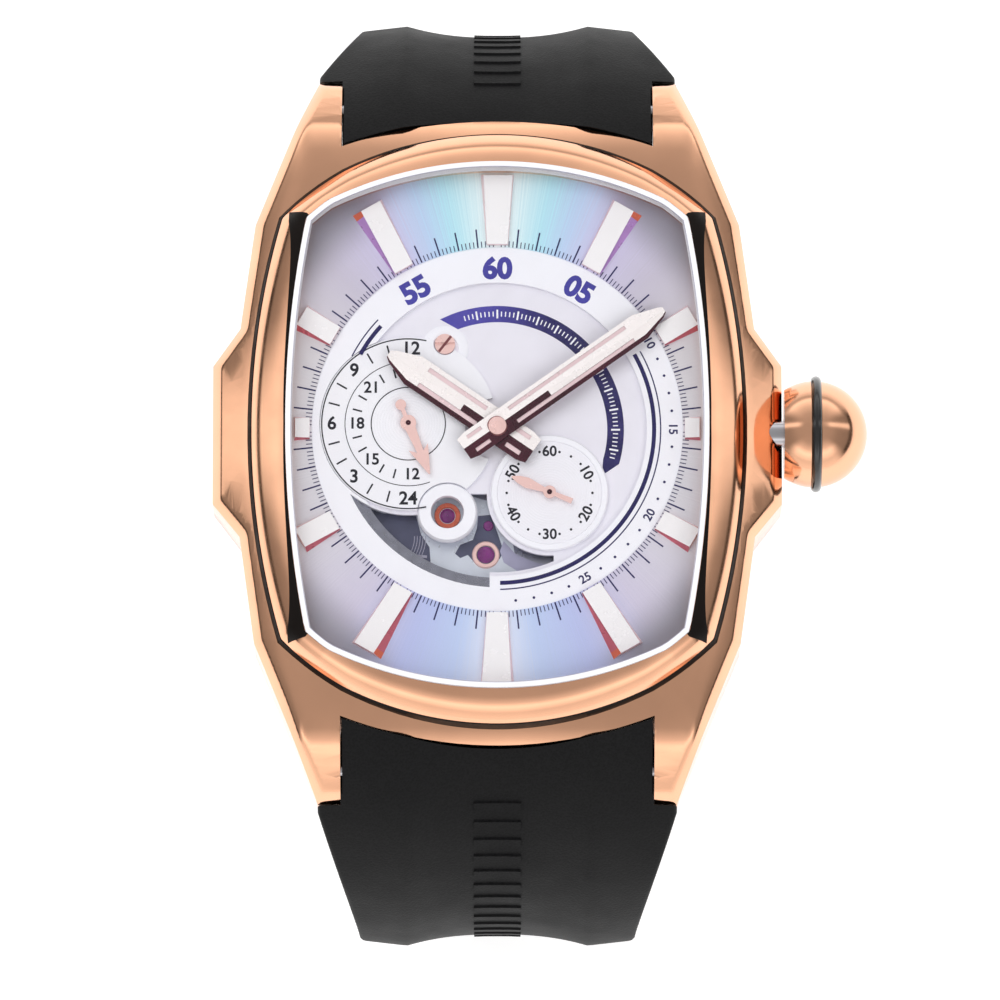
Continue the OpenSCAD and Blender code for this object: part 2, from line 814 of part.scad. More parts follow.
module hour_wheel() {
    color("#cfae6b") difference() {
        union() {
            at_dial([0, 0], motion_z) rotate(minute_to_centre + 180)
                linear_extrude(motion_t) gear_plan(hour_n, motion_m);
            at_dial([0, 0], motion_z) cylinder(r = tube_r, h = hour_z + hand_t - motion_z);
        }
        at_dial([0, 0], motion_z - 1) cylinder(r = pipe_r + 0.06, h = 9);
    }
}

// Intermediate wheel between the cannon pinion and the hour wheel
module minute_wheel() {
    color("#cfae6b") difference() {
        union() {
            wheel(minute_c, minute_n, motion_m, minute_gear_z, motion_t, minute_to_centre);
            pinion(minute_c, minute_pin_n, motion_m, minute_gear_z, motion_z + motion_t, minute_phase);
        }
        at_dial(minute_c, plate_z) cylinder(r = arbor_r + fit, h = 5);
    }
}

module cannon_pinion() {
    color("#b7b7ba") difference() {
        union() {
            at_dial([0, 0], plate_z + 0.1) cylinder(r = pipe_r, h = minute_z + hand_t - plate_z - 0.1);
            pinion([0, 0], cannon_n, motion_m, minute_gear_z, minute_gear_z + motion_t,
                minute_to_centre + 180 + 180 / cannon_n);
        }
        at_dial([0, 0], plate_z - 1) cylinder(r = arbor_r, h = plate_t + 1.2);
    }
}

module dual_time_wheel() {
    color("#cfae6b") {
        at_dial(dual_c, motion_z) rotate(dual_phase) linear_extrude(motion_t) gear_plan(dual_n, motion_m);
        at_dial(dual_c, motion_z - 1) cylinder(r = arbor_r, h = 1);
        at_dial(dual_c, motion_z) cylinder(r = 0.12, h = small_z + 0.1 - motion_z);
    }
}

module barrel() {
    color("#cfae6b") {
        at_dial(barrel_c, barrel_low + 0.75) rotate(barrel_to_centre)
            linear_extrude(0.3) gear_plan(barrel_n, barrel_m);
        at_dial(barrel_c, barrel_low) cylinder(r = barrel_m * barrel_n / 2 - 0.5, h = 0.8);
        arbor(barrel_c, train_z - 0.3, plate_z + 0.3);
    }
}

module centre_wheel() {
    color("#cfae6b") {
        wheel([0, 0], centre_n, gear_m, centre_z, wheel_t, centre_to_third);
        arbor([0, 0], train_z - 0.35, plate_z + 1.2);
        pinion([0, 0], centre_pin_n, barrel_m, centre_z, barrel_low + 1.1,
            barrel_to_centre + 180 + 180 / centre_pin_n);
    }
}

module third_wheel() {
    color("#cfae6b") {
        wheel(third_c, third_n, gear_m, third_z, wheel_t, third_to_fourth);
        arbor(third_c, train_z - 0.3, plate_z + 0.3);
        pinion(third_c, pin_n, gear_m, third_z, centre_z + 0.35, centre_to_third + 180 + 180 / pin_n);
    }
}

module fourth_wheel() {
    color("#cfae6b") {
        wheel(sec_c, fourth_n, fourth_m, fourth_z, wheel_t, fourth_to_escape);
        arbor(sec_c, train_z - 0.3, small_z - 0.9);
        pinion(sec_c, pin_n, gear_m, third_z - 0.1, fourth_z + 0.1, third_to_fourth + 180 + 180 / pin_n);
    }
}

module escape_wheel() {
    color("#cfcfd2") {
        at_dial(escape_c, escape_z) linear_extrude(0.15) difference() {
            polygon([for (i = [0:escape_n - 1], p = [[0, 0.62], [0.42, 1], [0.5, 0.97], [0.55, 0.62]])
                polar(escape_r * (0.55 + 0.45 * p[1]), (i + p[0]) * 360 / escape_n)]);
            difference() {
                circle(escape_r * 0.7);
                circle(0.5);
                for (i = [0:3]) rotate(i * 90) translate([0, -0.1]) square([escape_r, 0.2]);
            }
        }
        arbor(escape_c, train_z - 0.3, plate_z + 0.3);
        pinion(escape_c, escape_pin_n, fourth_m, fourth_z - 0.1, escape_z,
            fourth_to_escape + 180 + 180 / escape_pin_n);
    }
}

module pallet_fork() {
    to_wheel = angle_of(escape_c - fork_c);
    color("#d8d8da") {
        at_dial(fork_c, fork_z) linear_extrude(0.15) rotate(to_wheel) {
            polygon([[-1.5, -0.15], [0.3, -0.25], [0.3, 0.25], [-1.5, 0.15]]);
            translate([0.1, -1.2]) square([0.35, 2.4]);
            circle(0.4);
        }
        arbor(fork_c, fork_low - 0.15, plate_z + 0.3);
    }
}

// Bridge that holds the pallet fork under the balance
module pallet_bridge() {
    foot = fork_foot - fork_c;
    color("#d4d5da") {
        slab(fork_low - 0.3, fork_low) difference() {
            union() {
                translate(fork_c) circle(0.7);
                translate(fork_foot) circle(0.7);
                translate(fork_c) rotate(angle_of(foot)) translate([0, -0.6]) square([norm(foot), 1.2]);
            }
            translate(fork_c) circle(arbor_r + fit);
        }
        slab(fork_low, plate_z) translate(fork_foot) circle(0.6);
    }
}

module balance_wheel() {
    color("#d6b981") {
        at_dial(heart_c, balance_z) linear_extrude(0.3) {
            difference() {
                circle(balance_r);
                circle(balance_r - 0.45);
            }
            for (i = [0:2]) rotate(i * 120) translate([0, -0.2]) square([balance_r - 0.2, 0.4]);
            circle(0.6);
        }
        arbor(heart_c, bridge_low + 0.05, plate_z + 0.3);
    }
}

// Flat spiral from the collet to its stud
module hairspring() {
    turns = 9;
    steps = 24;
    r_in = 0.7;
    r_out = 2.2;
    strip = 0.05;
    n = turns * steps;
    function at(i, off) = polar(r_in + (r_out - r_in) * i / n + off, i * 360 / steps);
    color("#5a6a9a") at_dial(heart_c, balance_z - 0.35) {
        linear_extrude(0.12) polygon(concat([for (i = [0:n]) at(i, 0)], [for (i = [n:-1:0]) at(i, strip)]));
        difference() {
            cylinder(r = r_in + 0.03, h = 0.35);
            translate([0, 0, -1]) cylinder(r = arbor_r, h = 3);
        }
    }
}

module cock_plan() {
    foot = cock_c - heart_c;
    translate(heart_c) circle(1.5);
    translate(cock_c) circle(0.9);
    translate(heart_c) rotate(angle_of(foot)) translate([0, -0.8]) square([norm(foot), 1.6]);
}

module train_bridge() {
    color("#d4d5da") {
        slab(bridge_low, train_z) difference() {
            circle(move_r - 0.3);
            translate(heart_c) circle(balance_r + 0.6);
            translate(heart_c * 1.6) circle(balance_r + 2.1);
            for (c = [barrel_c, third_c, sec_c, escape_c]) translate(c) circle(jewel_r);
            circle(arbor_r + fit);
            for (a = bridge_screw_a) translate(polar(bridge_screw_r, a)) circle(screw_r);
        }
        for (a = bridge_screw_a) slab(train_z, plate_z) translate(polar(bridge_screw_r, a)) difference() {
            circle(0.85);
            circle(screw_r);
        }
    }
}

module balance_cock() {
    color("#d4d5da") {
        slab(bridge_low, train_z - 0.2) difference() {
            cock_plan();
            translate(heart_c) circle(arbor_r + fit);
        }
        slab(train_z - 0.2, plate_z) translate(cock_c) circle(0.85);
    }
}

module bridge_screws() {
    color("#9fb0d8") for (a = bridge_screw_a)
        at_dial(polar(bridge_screw_r, a), bridge_low - 0.3) difference() {
            union() {
                cylinder(r = screw_r, h = plate_z - bridge_low + 0.9);
                cylinder(r = 0.75, h = 0.3);
            }
            translate([-1, -0.1, -eps]) cube([2, 0.2, 0.15]);
        }
}

// Ring round the main plate that also carries the dial's bridge and chapter ring
module movement_ring() {
    plate_top = plate_z + plate_t;
    color("#b9bcc0") difference() {
        slab(plate_z, dial_z - dial_t) circle(case_bore_r);
        slab(plate_z - 1, plate_top) circle(move_r);
        slab(plate_top - 1, dial_z) circle(ring_in_r);
        slab(bridge_z, dial_z) circle(ring_in_r + bridge_lap);
        stem_slot();
    }
}

// Ring between the main plate and the case back
module holder_ring() {
    color("#b9bcc0") difference() {
        slab(case_low + back_step, plate_z) circle(case_bore_r);
        slab(case_low, plate_z + 1) circle(move_r - 0.2);
    }
}

module rotor() {
    color("#c7c9ce") difference() {
        union() {
            at_dial([0, 0], rotor_z) linear_extrude(rotor_t) intersection() {
                circle(rotor_r);
                polygon([[-1.6, 0.9], [1.6, 0.9], polar(20, -8), polar(30, -90), polar(20, 188)]);
            }
            at_dial([0, 0], rotor_z - 0.4) linear_extrude(rim_t) intersection() {
                difference() {
                    circle(rotor_r);
                    circle(rotor_r - 2.4);
                }
                polygon([[0, 0], polar(20, -8), polar(30, -90), polar(20, 188)]);
            }
            at_dial([0, 0], rotor_z) cylinder(r = 2.6, h = rotor_t);
        }
        at_dial([0, 0], rotor_z - 1) cylinder(r = bearing_r + fit, h = 3);
    }
}

module rotor_bearing() {
    color("#8f9198") {
        at_dial([0, 0], rotor_z - 0.1) cylinder(r = bearing_r, h = rotor_t + 0.2);
        at_dial([0, 0], rotor_z) cylinder(r = 1, h = bridge_low - rotor_z);
    }
}

// Section of the strap about an arc's centre: radius along X, width along Y
module strap_section(r, inset) {
    w = strap_w / 2 + 3 - inset;
    ridge = r - inset;
    edge = ridge - hollow_d;
    inside = r - strap_t + inset;
    polygon([[inside, -w], [inside, w], [edge, w], [ridge, hollow_w], [edge + 0.25, hollow_w / 2],
        [edge, 0], [edge + 0.25, -hollow_w / 2], [ridge, -hollow_w], [edge, -w]]);
}

// Turns a section about an axis along X; 0 is straight down, 90 is outward
module sweep(y, r, a0, a1, inset = 0) {
    translate([0, y, loop_z]) rotate([0, 90, 0]) rotate([0, 0, a0]) rotate_extrude(angle = a1 - a0)
        strap_section(r, inset);
}

// Front view of a strap half: fast taper from the lugs to its neck, then straight to the clasp
module strap_front(neck_z) {
    end = strap_end_w / 2;
    neck = strap_neck_w / 2;
    wide_z = case_low + 3;
    taper_z = pin_z + 2 * pin_r + strap_t;
    side = concat([[end, -1], [end, taper_z]],
        [for (t = [0:0.25:1]) [neck + (lug_out_x - neck) * t * t, neck_z + (wide_z - neck_z) * t]],
        [[lug_out_x, dial_z + 1]]);
    n = len(side) - 1;
    polygon(concat(side, [for (i = [n:-1:0]) [-side[i][0], side[i][1]]]));
}

module strap_half(neck_z) {
    difference() {
        intersection() {
            union() {
                sweep(up_y, loop_r_up, 90, strap_start);
                sweep(low_y, loop_r_low, end_a, 90 + join_a, fit);
            }
            along_y(-big, big) strap_front(neck_z);
        }
        slab(lug_low, dial_z + 2) translate([-big, 0]) square([2 * big, bezel_hh - 1]);
        slab(lug_low, dial_z + 2) difference() {
            translate([-big, 0]) square([2 * big, lug_y + loose]);
            recess_core();
        }
        rod_x(bar_r, -big, big, bar_y, bar_z);
        rod_x(pin_r, -big, big, pin_y, pin_z);
    }
}

// The part of the strap that fits between the lugs
module recess_core() {
    intersection() {
        recess_plan(-loose);
        translate([-strap_w / 2, 0]) square([strap_w, big]);
    }
}

module strap_12() {
    color("#1c1c1e") difference() {
        strap_half(neck_12);
        translate([-blade_w / 6 - 0.2, pin_y - 5, 0]) cube([blade_w / 3 + 0.4, 7, 8]);
    }
}

module strap_6() {
    color("#1c1c1e") rotate(180) strap_half(neck_6);
}

module spring_bars() {
    color("#a8a8aa") both_ends() {
        rod_x(bar_r, -strap_w / 2, strap_w / 2, bar_y, bar_z);
        rod_x(bar_r * 0.6, -lug_in_x - 0.7, lug_in_x + 0.7, bar_y, bar_z);
    }
}

module strap_pins() {
    color("#a8a8aa") {
        rod_x(pin_r, -strap_end_w / 2, strap_end_w / 2, pin_y, pin_z);
        rod_x(pin_r, -cover_w / 2, cover_w / 2, -pin_y, pin_z);
    }
}

module clasp_base() {
    color("#c9c9cb") difference() {
        union() {
            translate([-blade_w / 2, fold_y, base_z]) cube([blade_w, pin_y - 2.8 - fold_y, blade_t]);
            translate([-blade_w / 6, pin_y - 3, base_z]) cube([blade_w / 3, 3, blade_t]);
            rod_x(ear_r, -blade_w / 6, blade_w / 6, pin_y, pin_z);
            for (s = [-1, 1])
                rod_x(fold_r, (s - 0.5) * knuckle_w, (s + 0.5) * knuckle_w, fold_y, fold_z);
        }
        rod_x(pin_r, -big, big, pin_y, pin_z);
        rod_x(hinge_pin_r, -big, big, fold_y, fold_z);
        rod_x(fold_r + 0.1, -knuckle_w / 2 - 0.05, knuckle_w / 2 + 0.05, fold_y, fold_z);
    }
}

module clasp_blade() {
    color("#c9c9cb") difference() {
        union() {
            translate([-blade_w / 2, fold_y + fold_r + 0.15, blade_z])
                cube([blade_w, cover_y - fold_y - 2 * fold_r - 0.3, blade_t]);
            translate([-knuckle_w / 2 + 0.05, fold_y, blade_z]) cube([knuckle_w - 0.1, 3, blade_t]);
            translate([-knuckle_w / 2 + 0.05, cover_y - 3, blade_z]) cube([knuckle_w - 0.1, 3, blade_t]);
            rod_x(fold_r, -knuckle_w / 2 + 0.05, knuckle_w / 2 - 0.05, fold_y, fold_z);
            rod_x(cover_r, -knuckle_w / 2 + 0.05, knuckle_w / 2 - 0.05, cover_y, cover_z);
        }
        rod_x(hinge_pin_r + fit, -big, big, fold_y, fold_z);
        rod_x(hinge_pin_r, -big, big, cover_y, cover_z);
    }
}

module clasp_cover() {
    color("#d79a78") difference() {
        union() {
            translate([-cover_w / 2, -pin_y - ear_r, 0])
                cube([cover_w, cover_y + pin_y + 2 * ear_r, cover_t]);
            for (x = [-cover_w / 2, cover_w / 2 - wall_t]) {
                translate([x, -pin_y - ear_r, 0]) cube([wall_t, cover_y + pin_y, base_top]);
                translate([x, -pin_y - ear_r, 0]) cube([wall_t, 2 * ear_r, pin_z]);
                rod_x(ear_r, x, x + wall_t, -pin_y, pin_z);
            }
            for (s = [-1, 1])
                rod_x(cover_r, (s - 0.5) * knuckle_w, (s + 0.5) * knuckle_w, cover_y, cover_z);
        }
        along_x(-big, big) translate([-pin_y - pin_r - fit, pin_z]) square([2 * pin_r + 8 * fit, 5]);
        rod_x(pin_r + fit, -big, big, -pin_y, pin_z);
        rod_x(hinge_pin_r + fit, -big, big, cover_y, cover_z);
        rod_x(cover_r + 0.1, -knuckle_w / 2 - 0.05, knuckle_w / 2 + 0.05, cover_y, cover_z);
        rod_x(button_r + fit, -big, big, button_y, button_z);
    }
}

module fold_pin() {
    color("#a8a8aa") rod_x(hinge_pin_r, -blade_w / 2, blade_w / 2, fold_y, fold_z);
}

module cover_pin() {
    color("#a8a8aa") rod_x(hinge_pin_r, -knuckle_w / 2, knuckle_w / 2, cover_y, cover_z);
}

// Push button in the cover's wall, with a head outside and a flange inside
module button() {
    inner = cover_w / 2 - wall_t - fit;
    color("#d79a78") {
        rod_x(button_r, inner - 0.5, cover_w / 2 + 0.8, button_y, button_z);
        rod_x(button_r + 0.2, inner - 0.5, inner, button_y, button_z);
    }
}

module button_left() {
    mirror([1, 0, 0]) button();
}

module button_right() {
    button();
}

// Posts with leaf springs that push the buttons out
module button_springs() {
    leaf_x = cover_w / 2 - wall_t - 2 * fit - 0.5 - button_travel;
    color("#a8a8aa") for (s = [0, 1]) mirror([s, 0, 0]) translate([leaf_x - 0.6, button_y, cover_t]) {
        translate([0, -1.6, 0]) cube([0.6, 0.6, 1.6]);
        translate([0, -1.6, 0.4]) cube([0.15, 2.6, 1.2]);
    }
}

case_middle();
bezel();
crystal();
crystal_gasket();
case_back();
back_window();
back_gasket();
back_screws_set();
crown();
crown_ring();
winding_stem();
crown_tube();
stem_gasket();
setting_lever();
dial_plate();
chapter_ring();
dial_bridge();
dual_time_dial();
seconds_dial();
hour_markers();
dial_screw();
hour_hand();
minute_hand();
dual_time_hand();
seconds_hand();
hand_cap();
main_plate();
hour_wheel();
minute_wheel();
cannon_pinion();
dual_time_wheel();
barrel();
centre_wheel();
third_wheel();
fourth_wheel();
escape_wheel();
pallet_fork();
balance_wheel();
hairspring();
jewels();
train_bridge();
balance_cock();
pallet_bridge();
bridge_screws();
movement_ring();
holder_ring();
rotor();
rotor_bearing();
strap_12();
strap_6();
spring_bars();
strap_pins();
clasp_base();
clasp_blade();
clasp_cover();
fold_pin();
cover_pin();
button_left();
button_right();
button_springs();
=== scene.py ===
import math
from contextlib import contextmanager

import bmesh
import bpy
from mathutils import Matrix, Vector


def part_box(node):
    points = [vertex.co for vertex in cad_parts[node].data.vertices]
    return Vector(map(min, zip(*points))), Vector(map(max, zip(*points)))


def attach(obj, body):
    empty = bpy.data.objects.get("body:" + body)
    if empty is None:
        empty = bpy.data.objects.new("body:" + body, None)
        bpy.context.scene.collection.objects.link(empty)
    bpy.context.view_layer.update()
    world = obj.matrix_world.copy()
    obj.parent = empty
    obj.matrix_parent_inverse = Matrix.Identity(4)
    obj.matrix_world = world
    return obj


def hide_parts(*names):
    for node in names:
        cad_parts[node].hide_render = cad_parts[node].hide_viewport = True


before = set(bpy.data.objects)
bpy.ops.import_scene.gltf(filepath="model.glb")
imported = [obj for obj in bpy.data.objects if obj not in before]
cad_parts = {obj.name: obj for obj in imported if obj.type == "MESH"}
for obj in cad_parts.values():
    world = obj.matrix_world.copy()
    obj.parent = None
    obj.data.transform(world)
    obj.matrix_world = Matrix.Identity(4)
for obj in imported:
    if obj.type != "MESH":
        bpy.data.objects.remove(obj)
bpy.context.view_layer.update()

MM = 0.001
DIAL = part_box("dial_plate")[1].z / MM
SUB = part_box("dial_bridge")[1].z / MM
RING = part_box("chapter_ring")[1].z / MM
DUAL_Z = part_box("dual_time_dial")[1].z / MM
SEC_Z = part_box("seconds_dial")[1].z / MM

DUAL_C = (-6.96, 0.42)
SEC_C = (4.08, -5.09)
HEART_C = (-3.9, -6.6)
SCREW_C = (-4.1, 6.8)
WINDOW_JEWEL_C = (-0.9, -9.7)

# Sizes shared with the solids: half widths, half lengths and corners of the plans, then heights and radii
GLASS_X, GLASS_Y, GLASS_CORNER_X, GLASS_CORNER_Y = 16.5, 20.9, 14.8, 17.0
BEZEL_X, BEZEL_Y, BEZEL_CORNER_X, BEZEL_CORNER_Y = 19.3, 23.5, 16.7, 17.5
GUARD_X, LUG_X = 22.3, 14.05
BEZEL_FOOT, BEZEL_RISE = 0.3, 1.7
CRYSTAL_TOP, DOME_R = 3.4, 180
CASE_DEPTH, LUG_DROP = 8.4, 3.2
PRINT = 0.012


# Colours and materials

def rgb(r, g, b):
    """Linear colour from screen values."""
    def one(c):
        c /= 255
        return c / 12.92 if c <= 0.04045 else ((c + 0.055) / 1.055) ** 2.4
    return (one(r), one(g), one(b), 1.0)


def scaled(c, k):
    """Colour c, k times as bright."""
    return tuple(min(1.0, v * k) for v in c[:3]) + (1.0,)


class Nodes:
    """Short calls for the usual nodes of a material's or the world's tree."""

    def __init__(self, tree, coordinates):
        self.tree = tree
        self.pos = tree.nodes.new("ShaderNodeTexCoord").outputs[coordinates]

    def feed(self, socket, value):
        if isinstance(value, bpy.types.NodeSocket):
            self.tree.links.new(value, socket)
        elif value is not None:
            socket.default_value = value

    def fill(self, node, sockets):
        for name, value in sockets.items():
            self.feed(node.inputs[name.replace("_", " ")], value)

    def node(self, kind, **sockets):
        """New node with its inputs set or linked. In an input's name, _ stands for a space."""
        n = self.tree.nodes.new(kind)
        self.fill(n, sockets)
        return n

    def math(self, op, a, b=None, clamp=False):
        n = self.node("ShaderNodeMath")
        n.operation = op
        n.use_clamp = clamp
        self.feed(n.inputs[0], a)
        self.feed(n.inputs[1], b)
        return n.outputs[0]

    def times(self, a, b):
        return self.math("MULTIPLY", a, b)

    def length(self, x, y):
        return self.math("SQRT", self.math("ADD", self.times(x, x), self.times(y, y)))

    def xyz(self):
        return self.node("ShaderNodeSeparateXYZ", Vector=self.pos).outputs

    def stretch(self, scale, turn=0.0):
        turned_by = (0, 0, math.radians(turn))
        return self.node("ShaderNodeMapping", Vector=self.pos, Scale=scale, Rotation=turned_by).outputs[0]

    def noise(self, scale, detail=3.0, rough=0.55, vector=None, w=None):
        n = self.node("ShaderNodeTexNoise", Scale=scale, Detail=detail, Roughness=rough)
        if w is not None:
            n.noise_dimensions = "1D"
            self.feed(n.inputs["W"], w)
        else:
            self.feed(n.inputs["Vector"], vector or self.pos)
        return n.outputs[0]

    def cells(self, scale):
        return self.node("ShaderNodeTexVoronoi", Vector=self.pos, Scale=scale).outputs["Distance"]

    def span(self, value, low, high, to_low=0.0, to_high=1.0, smooth=False):
        n = self.node("ShaderNodeMapRange", Value=value, From_Min=low, From_Max=high,
                      To_Min=to_low, To_Max=to_high)
        n.interpolation_type = "SMOOTHSTEP" if smooth else "LINEAR"
        return n.outputs[0]

    def mix(self, factor, a, b):
        n = self.node("ShaderNodeMix")
        n.data_type = "RGBA"
        for i, value in ((0, factor), (6, a), (7, b)):
            self.feed(n.inputs[i], value)
        return n.outputs[2]

    def ramp(self, value, stops):
        n = self.node("ShaderNodeValToRGB", Fac=value)
        for i, (place, c) in enumerate(stops):
            e = n.color_ramp.elements[i] if i < 2 else n.color_ramp.elements.new(place)
            e.position, e.color = place, c
        return n.outputs[0]

    def bump(self, height, depth, strength=1.0):
        return self.node("ShaderNodeBump", Height=height, Distance=depth, Strength=strength).outputs[0]


class Material(Nodes):
    """A new material with its main shader."""

    def __init__(self, name):
        self.mat = bpy.data.materials.new(name)
        self.mat.use_nodes = True
        super().__init__(self.mat.node_tree, "Object")
        self.shader = self.tree.nodes["Principled BSDF"]

    def set(self, **sockets):
        self.fill(self.shader, sockets)
        return self.mat

    def surface(self, output):
        self.feed(self.tree.nodes["Material Output"].inputs["Surface"], output)


def metal(name, base, rough, brush=None, tone=0.06, dark=None, coat=0.0):
    """Metal with slight tone changes and fine scratches or, with brush, a grain along one axis."""
    g = Material(name)
    wear = 0.25
    broad = g.noise(160)
    low = dark or scaled(base, 1 - 2 * tone)
    colour = g.mix(g.span(broad, 0.35, 0.65), low, scaled(base, 1 + tone))
    if brush:
        fine = g.noise(1, 4, 0.7, g.stretch(brush))
        colour = g.mix(g.span(fine, 0.3, 0.7, 0.0, 0.35), colour, scaled(base, 0.72))
        depth = 6e-6
    else:
        fine = g.noise(2600, 5, 0.7)
        depth = 6e-7
    roughness = g.span(g.noise(420, 4), 0.3, 0.75, rough * (1 - wear), rough * (1 + wear))
    return g.set(Base_Color=colour, Metallic=1.0, Roughness=roughness, Normal=g.bump(fine, depth, 0.6),
                 Coat_Weight=coat, Coat_Roughness=0.05)


def paint(name, base, rough, tone=0.03, spec=0.5, metallic=0.0, coat=0.0):
    """Lacquer, print or plastic with a faint change of tone and a fine grain."""
    g = Material(name)
    colour = g.mix(g.span(g.noise(300), 0.3, 0.7), scaled(base, 1 - tone), scaled(base, 1 + tone))
    roughness = g.span(g.noise(700), 0.3, 0.7, rough * 0.85, rough * 1.15)
    return g.set(Base_Color=colour, Roughness=roughness, Metallic=metallic, Coat_Weight=coat,
                 Specular_IOR_Level=spec, Normal=g.bump(g.noise(2500), 4e-7, 0.5))


def sunburst():
    """Silver dial brushed from its centre, with painted glare of sky blue at 12 and lilac at 6, and painted
    shade in its corners.
    """
    g = Material("silver_sunburst")
    x, y, _ = g.xyz()
    angle = g.math("ARCTAN2", x, y)
    radius = g.length(x, y)
    streak = g.noise(34, 8, 0.75, w=g.times(angle, 4.0))
    wobble = g.times(g.math("SUBTRACT", streak, 0.5), 0.06)
    turn = g.math("ADD", g.math("DIVIDE", g.math("ABSOLUTE", angle), math.pi), wobble)
    # Painted glare, set by the angle from 12: sky blue round 12 and lilac round 6, in place of reflections
    painted_glare_hues = ((0, (244, 254, 255)), (5, (226, 250, 255)), (12, (186, 238, 252)), (19, (192, 218, 250)),
            (28, (212, 206, 240)), (45, (206, 200, 218)), (65, (224, 221, 226)), (90, (232, 230, 236)),
            (120, (222, 220, 228)), (142, (214, 208, 230)), (158, (190, 200, 244)), (170, (196, 214, 250)),
            (180, (236, 242, 255)))
    colour = g.ramp(turn, [(a / 180, rgb(*c)) for a, c in painted_glare_hues])
    # Painted shade: the dial goes dark grey in its four corners, next to the bezel
    far = g.times(g.span(radius, 0.0172, 0.0212, smooth=True),
                 g.span(g.math("ABSOLUTE", y), 0.0075, 0.0135, smooth=True))
    side = g.times(far, g.span(g.math("ABSOLUTE", x), 0.007, 0.0115, smooth=True))
    colour = g.mix(g.times(side, 0.7), colour, rgb(112, 112, 117))
    colour = g.mix(g.span(streak, 0.35, 0.65, 0.0, 0.12), colour, rgb(160, 156, 170))
    return g.set(Base_Color=colour, Metallic=0.08, Roughness=g.span(streak, 0.3, 0.7, 0.28, 0.42),
                 Normal=g.bump(streak, 3e-6, 0.5))


def ringed(name, base, centre, pitch, inner, outer):
    """White dial with turned rings about its own centre, between the radii inner and outer."""
    g = Material(name)
    x, y, _ = g.xyz()
    radius = g.length(g.math("SUBTRACT", x, centre[0] * MM), g.math("SUBTRACT", y, centre[1] * MM))
    wave = g.math("SINE", g.times(radius, 2 * math.pi / (pitch * MM)))
    below = g.span(radius, outer * MM, outer * MM - 1e-4)
    above = g.span(radius, inner * MM, inner * MM + 1e-4)
    wave = g.times(wave, g.times(below, above))
    rough = 0.35
    colour = g.mix(g.span(wave, -1, 1, 0.0, 0.12), base, scaled(base, 0.72))
    colour = g.mix(g.span(g.noise(250), 0.35, 0.7, 0.0, 0.08), colour, rgb(214, 212, 228))
    return g.set(Base_Color=colour, Roughness=g.span(g.noise(900), 0.3, 0.7, rough * 0.85, rough * 1.15),
                 Normal=g.bump(wave, 5e-6, 0.6))


def perlage(name, base, pitch=1.1):
    """Plate with overlapping turned spots."""
    g = Material(name)
    x, y, _ = g.xyz()
    u = g.math("DIVIDE", x, pitch * MM)
    row = g.math("FLOOR", u)
    v = g.math("ADD", g.math("DIVIDE", y, pitch * MM), g.times(row, 0.5))
    du = g.math("SUBTRACT", g.math("FRACT", u), 0.5)
    dv = g.math("SUBTRACT", g.math("FRACT", v), 0.5)
    r = g.length(du, dv)
    wave = g.math("SINE", g.times(r, 60.0))
    shade = g.math("ADD", g.times(wave, 0.25), g.span(r, 0.0, 0.7, 0.6, 0.2))
    colour = g.mix(g.math("MAXIMUM", shade, 0.0), scaled(base, 0.62), base)
    return g.set(Base_Color=colour, Metallic=1.0, Roughness=g.span(g.noise(600), 0.3, 0.7, 0.22, 0.34),
                 Normal=g.bump(wave, 4e-6, 0.5))


def striped(name, base, pitch=1.3):
    """Bridge with straight polished stripes."""
    g = Material(name)
    x, y, _ = g.xyz()
    across = g.math("FRACT", g.math("DIVIDE", g.math("ADD", x, g.times(y, 0.6)), pitch * MM))
    fine = g.noise(1, 3, 0.6, g.stretch((900, 12000, 900), 31))
    colour = g.mix(across, scaled(base, 0.7), scaled(base, 1.05))
    colour = g.mix(g.span(fine, 0.3, 0.7, 0.0, 0.2), colour, scaled(base, 0.6))
    return g.set(Base_Color=colour, Metallic=1.0, Roughness=g.span(fine, 0.3, 0.7, 0.2, 0.32),
                 Normal=g.bump(across, 1.5e-5, 0.6))


def rubber():
    """Black rubber with a fine pebbled grain."""
    g = Material("black_rubber")
    pebbles = g.cells(5200)
    fine = g.noise(9000, 4, 0.7)
    height = g.math("ADD", g.times(pebbles, 0.8), g.times(fine, 0.5))
    patch = g.noise(130, 4, 0.6)
    base = rgb(6, 6, 7)
    colour = g.mix(g.span(patch, 0.3, 0.7), scaled(base, 0.7), scaled(base, 1.35))
    colour = g.mix(g.span(height, 0.35, 0.8, 0.0, 0.45), colour, rgb(24, 24, 26))
    return g.set(Base_Color=colour, Roughness=g.span(patch, 0.3, 0.7, 0.5, 0.64), Specular_IOR_Level=0.17,
                 Normal=g.bump(height, 2.2e-5, 0.75))


def faded_band():
    """Violet blue print that turns to dark navy towards the right."""
    g = Material("band_navy")
    x, _, _ = g.xyz()
    colour = g.mix(g.span(x, -0.002, 0.005, smooth=True), rgb(70, 64, 160), rgb(18, 10, 74))
    colour = g.mix(g.span(g.noise(900), 0.3, 0.7, 0.0, 0.15), colour, rgb(110, 100, 190))
    return g.set(Base_Color=colour, Roughness=g.span(g.noise(700), 0.3, 0.7, 0.32, 0.45),
                 Normal=g.bump(g.noise(2500), 4e-7, 0.5))


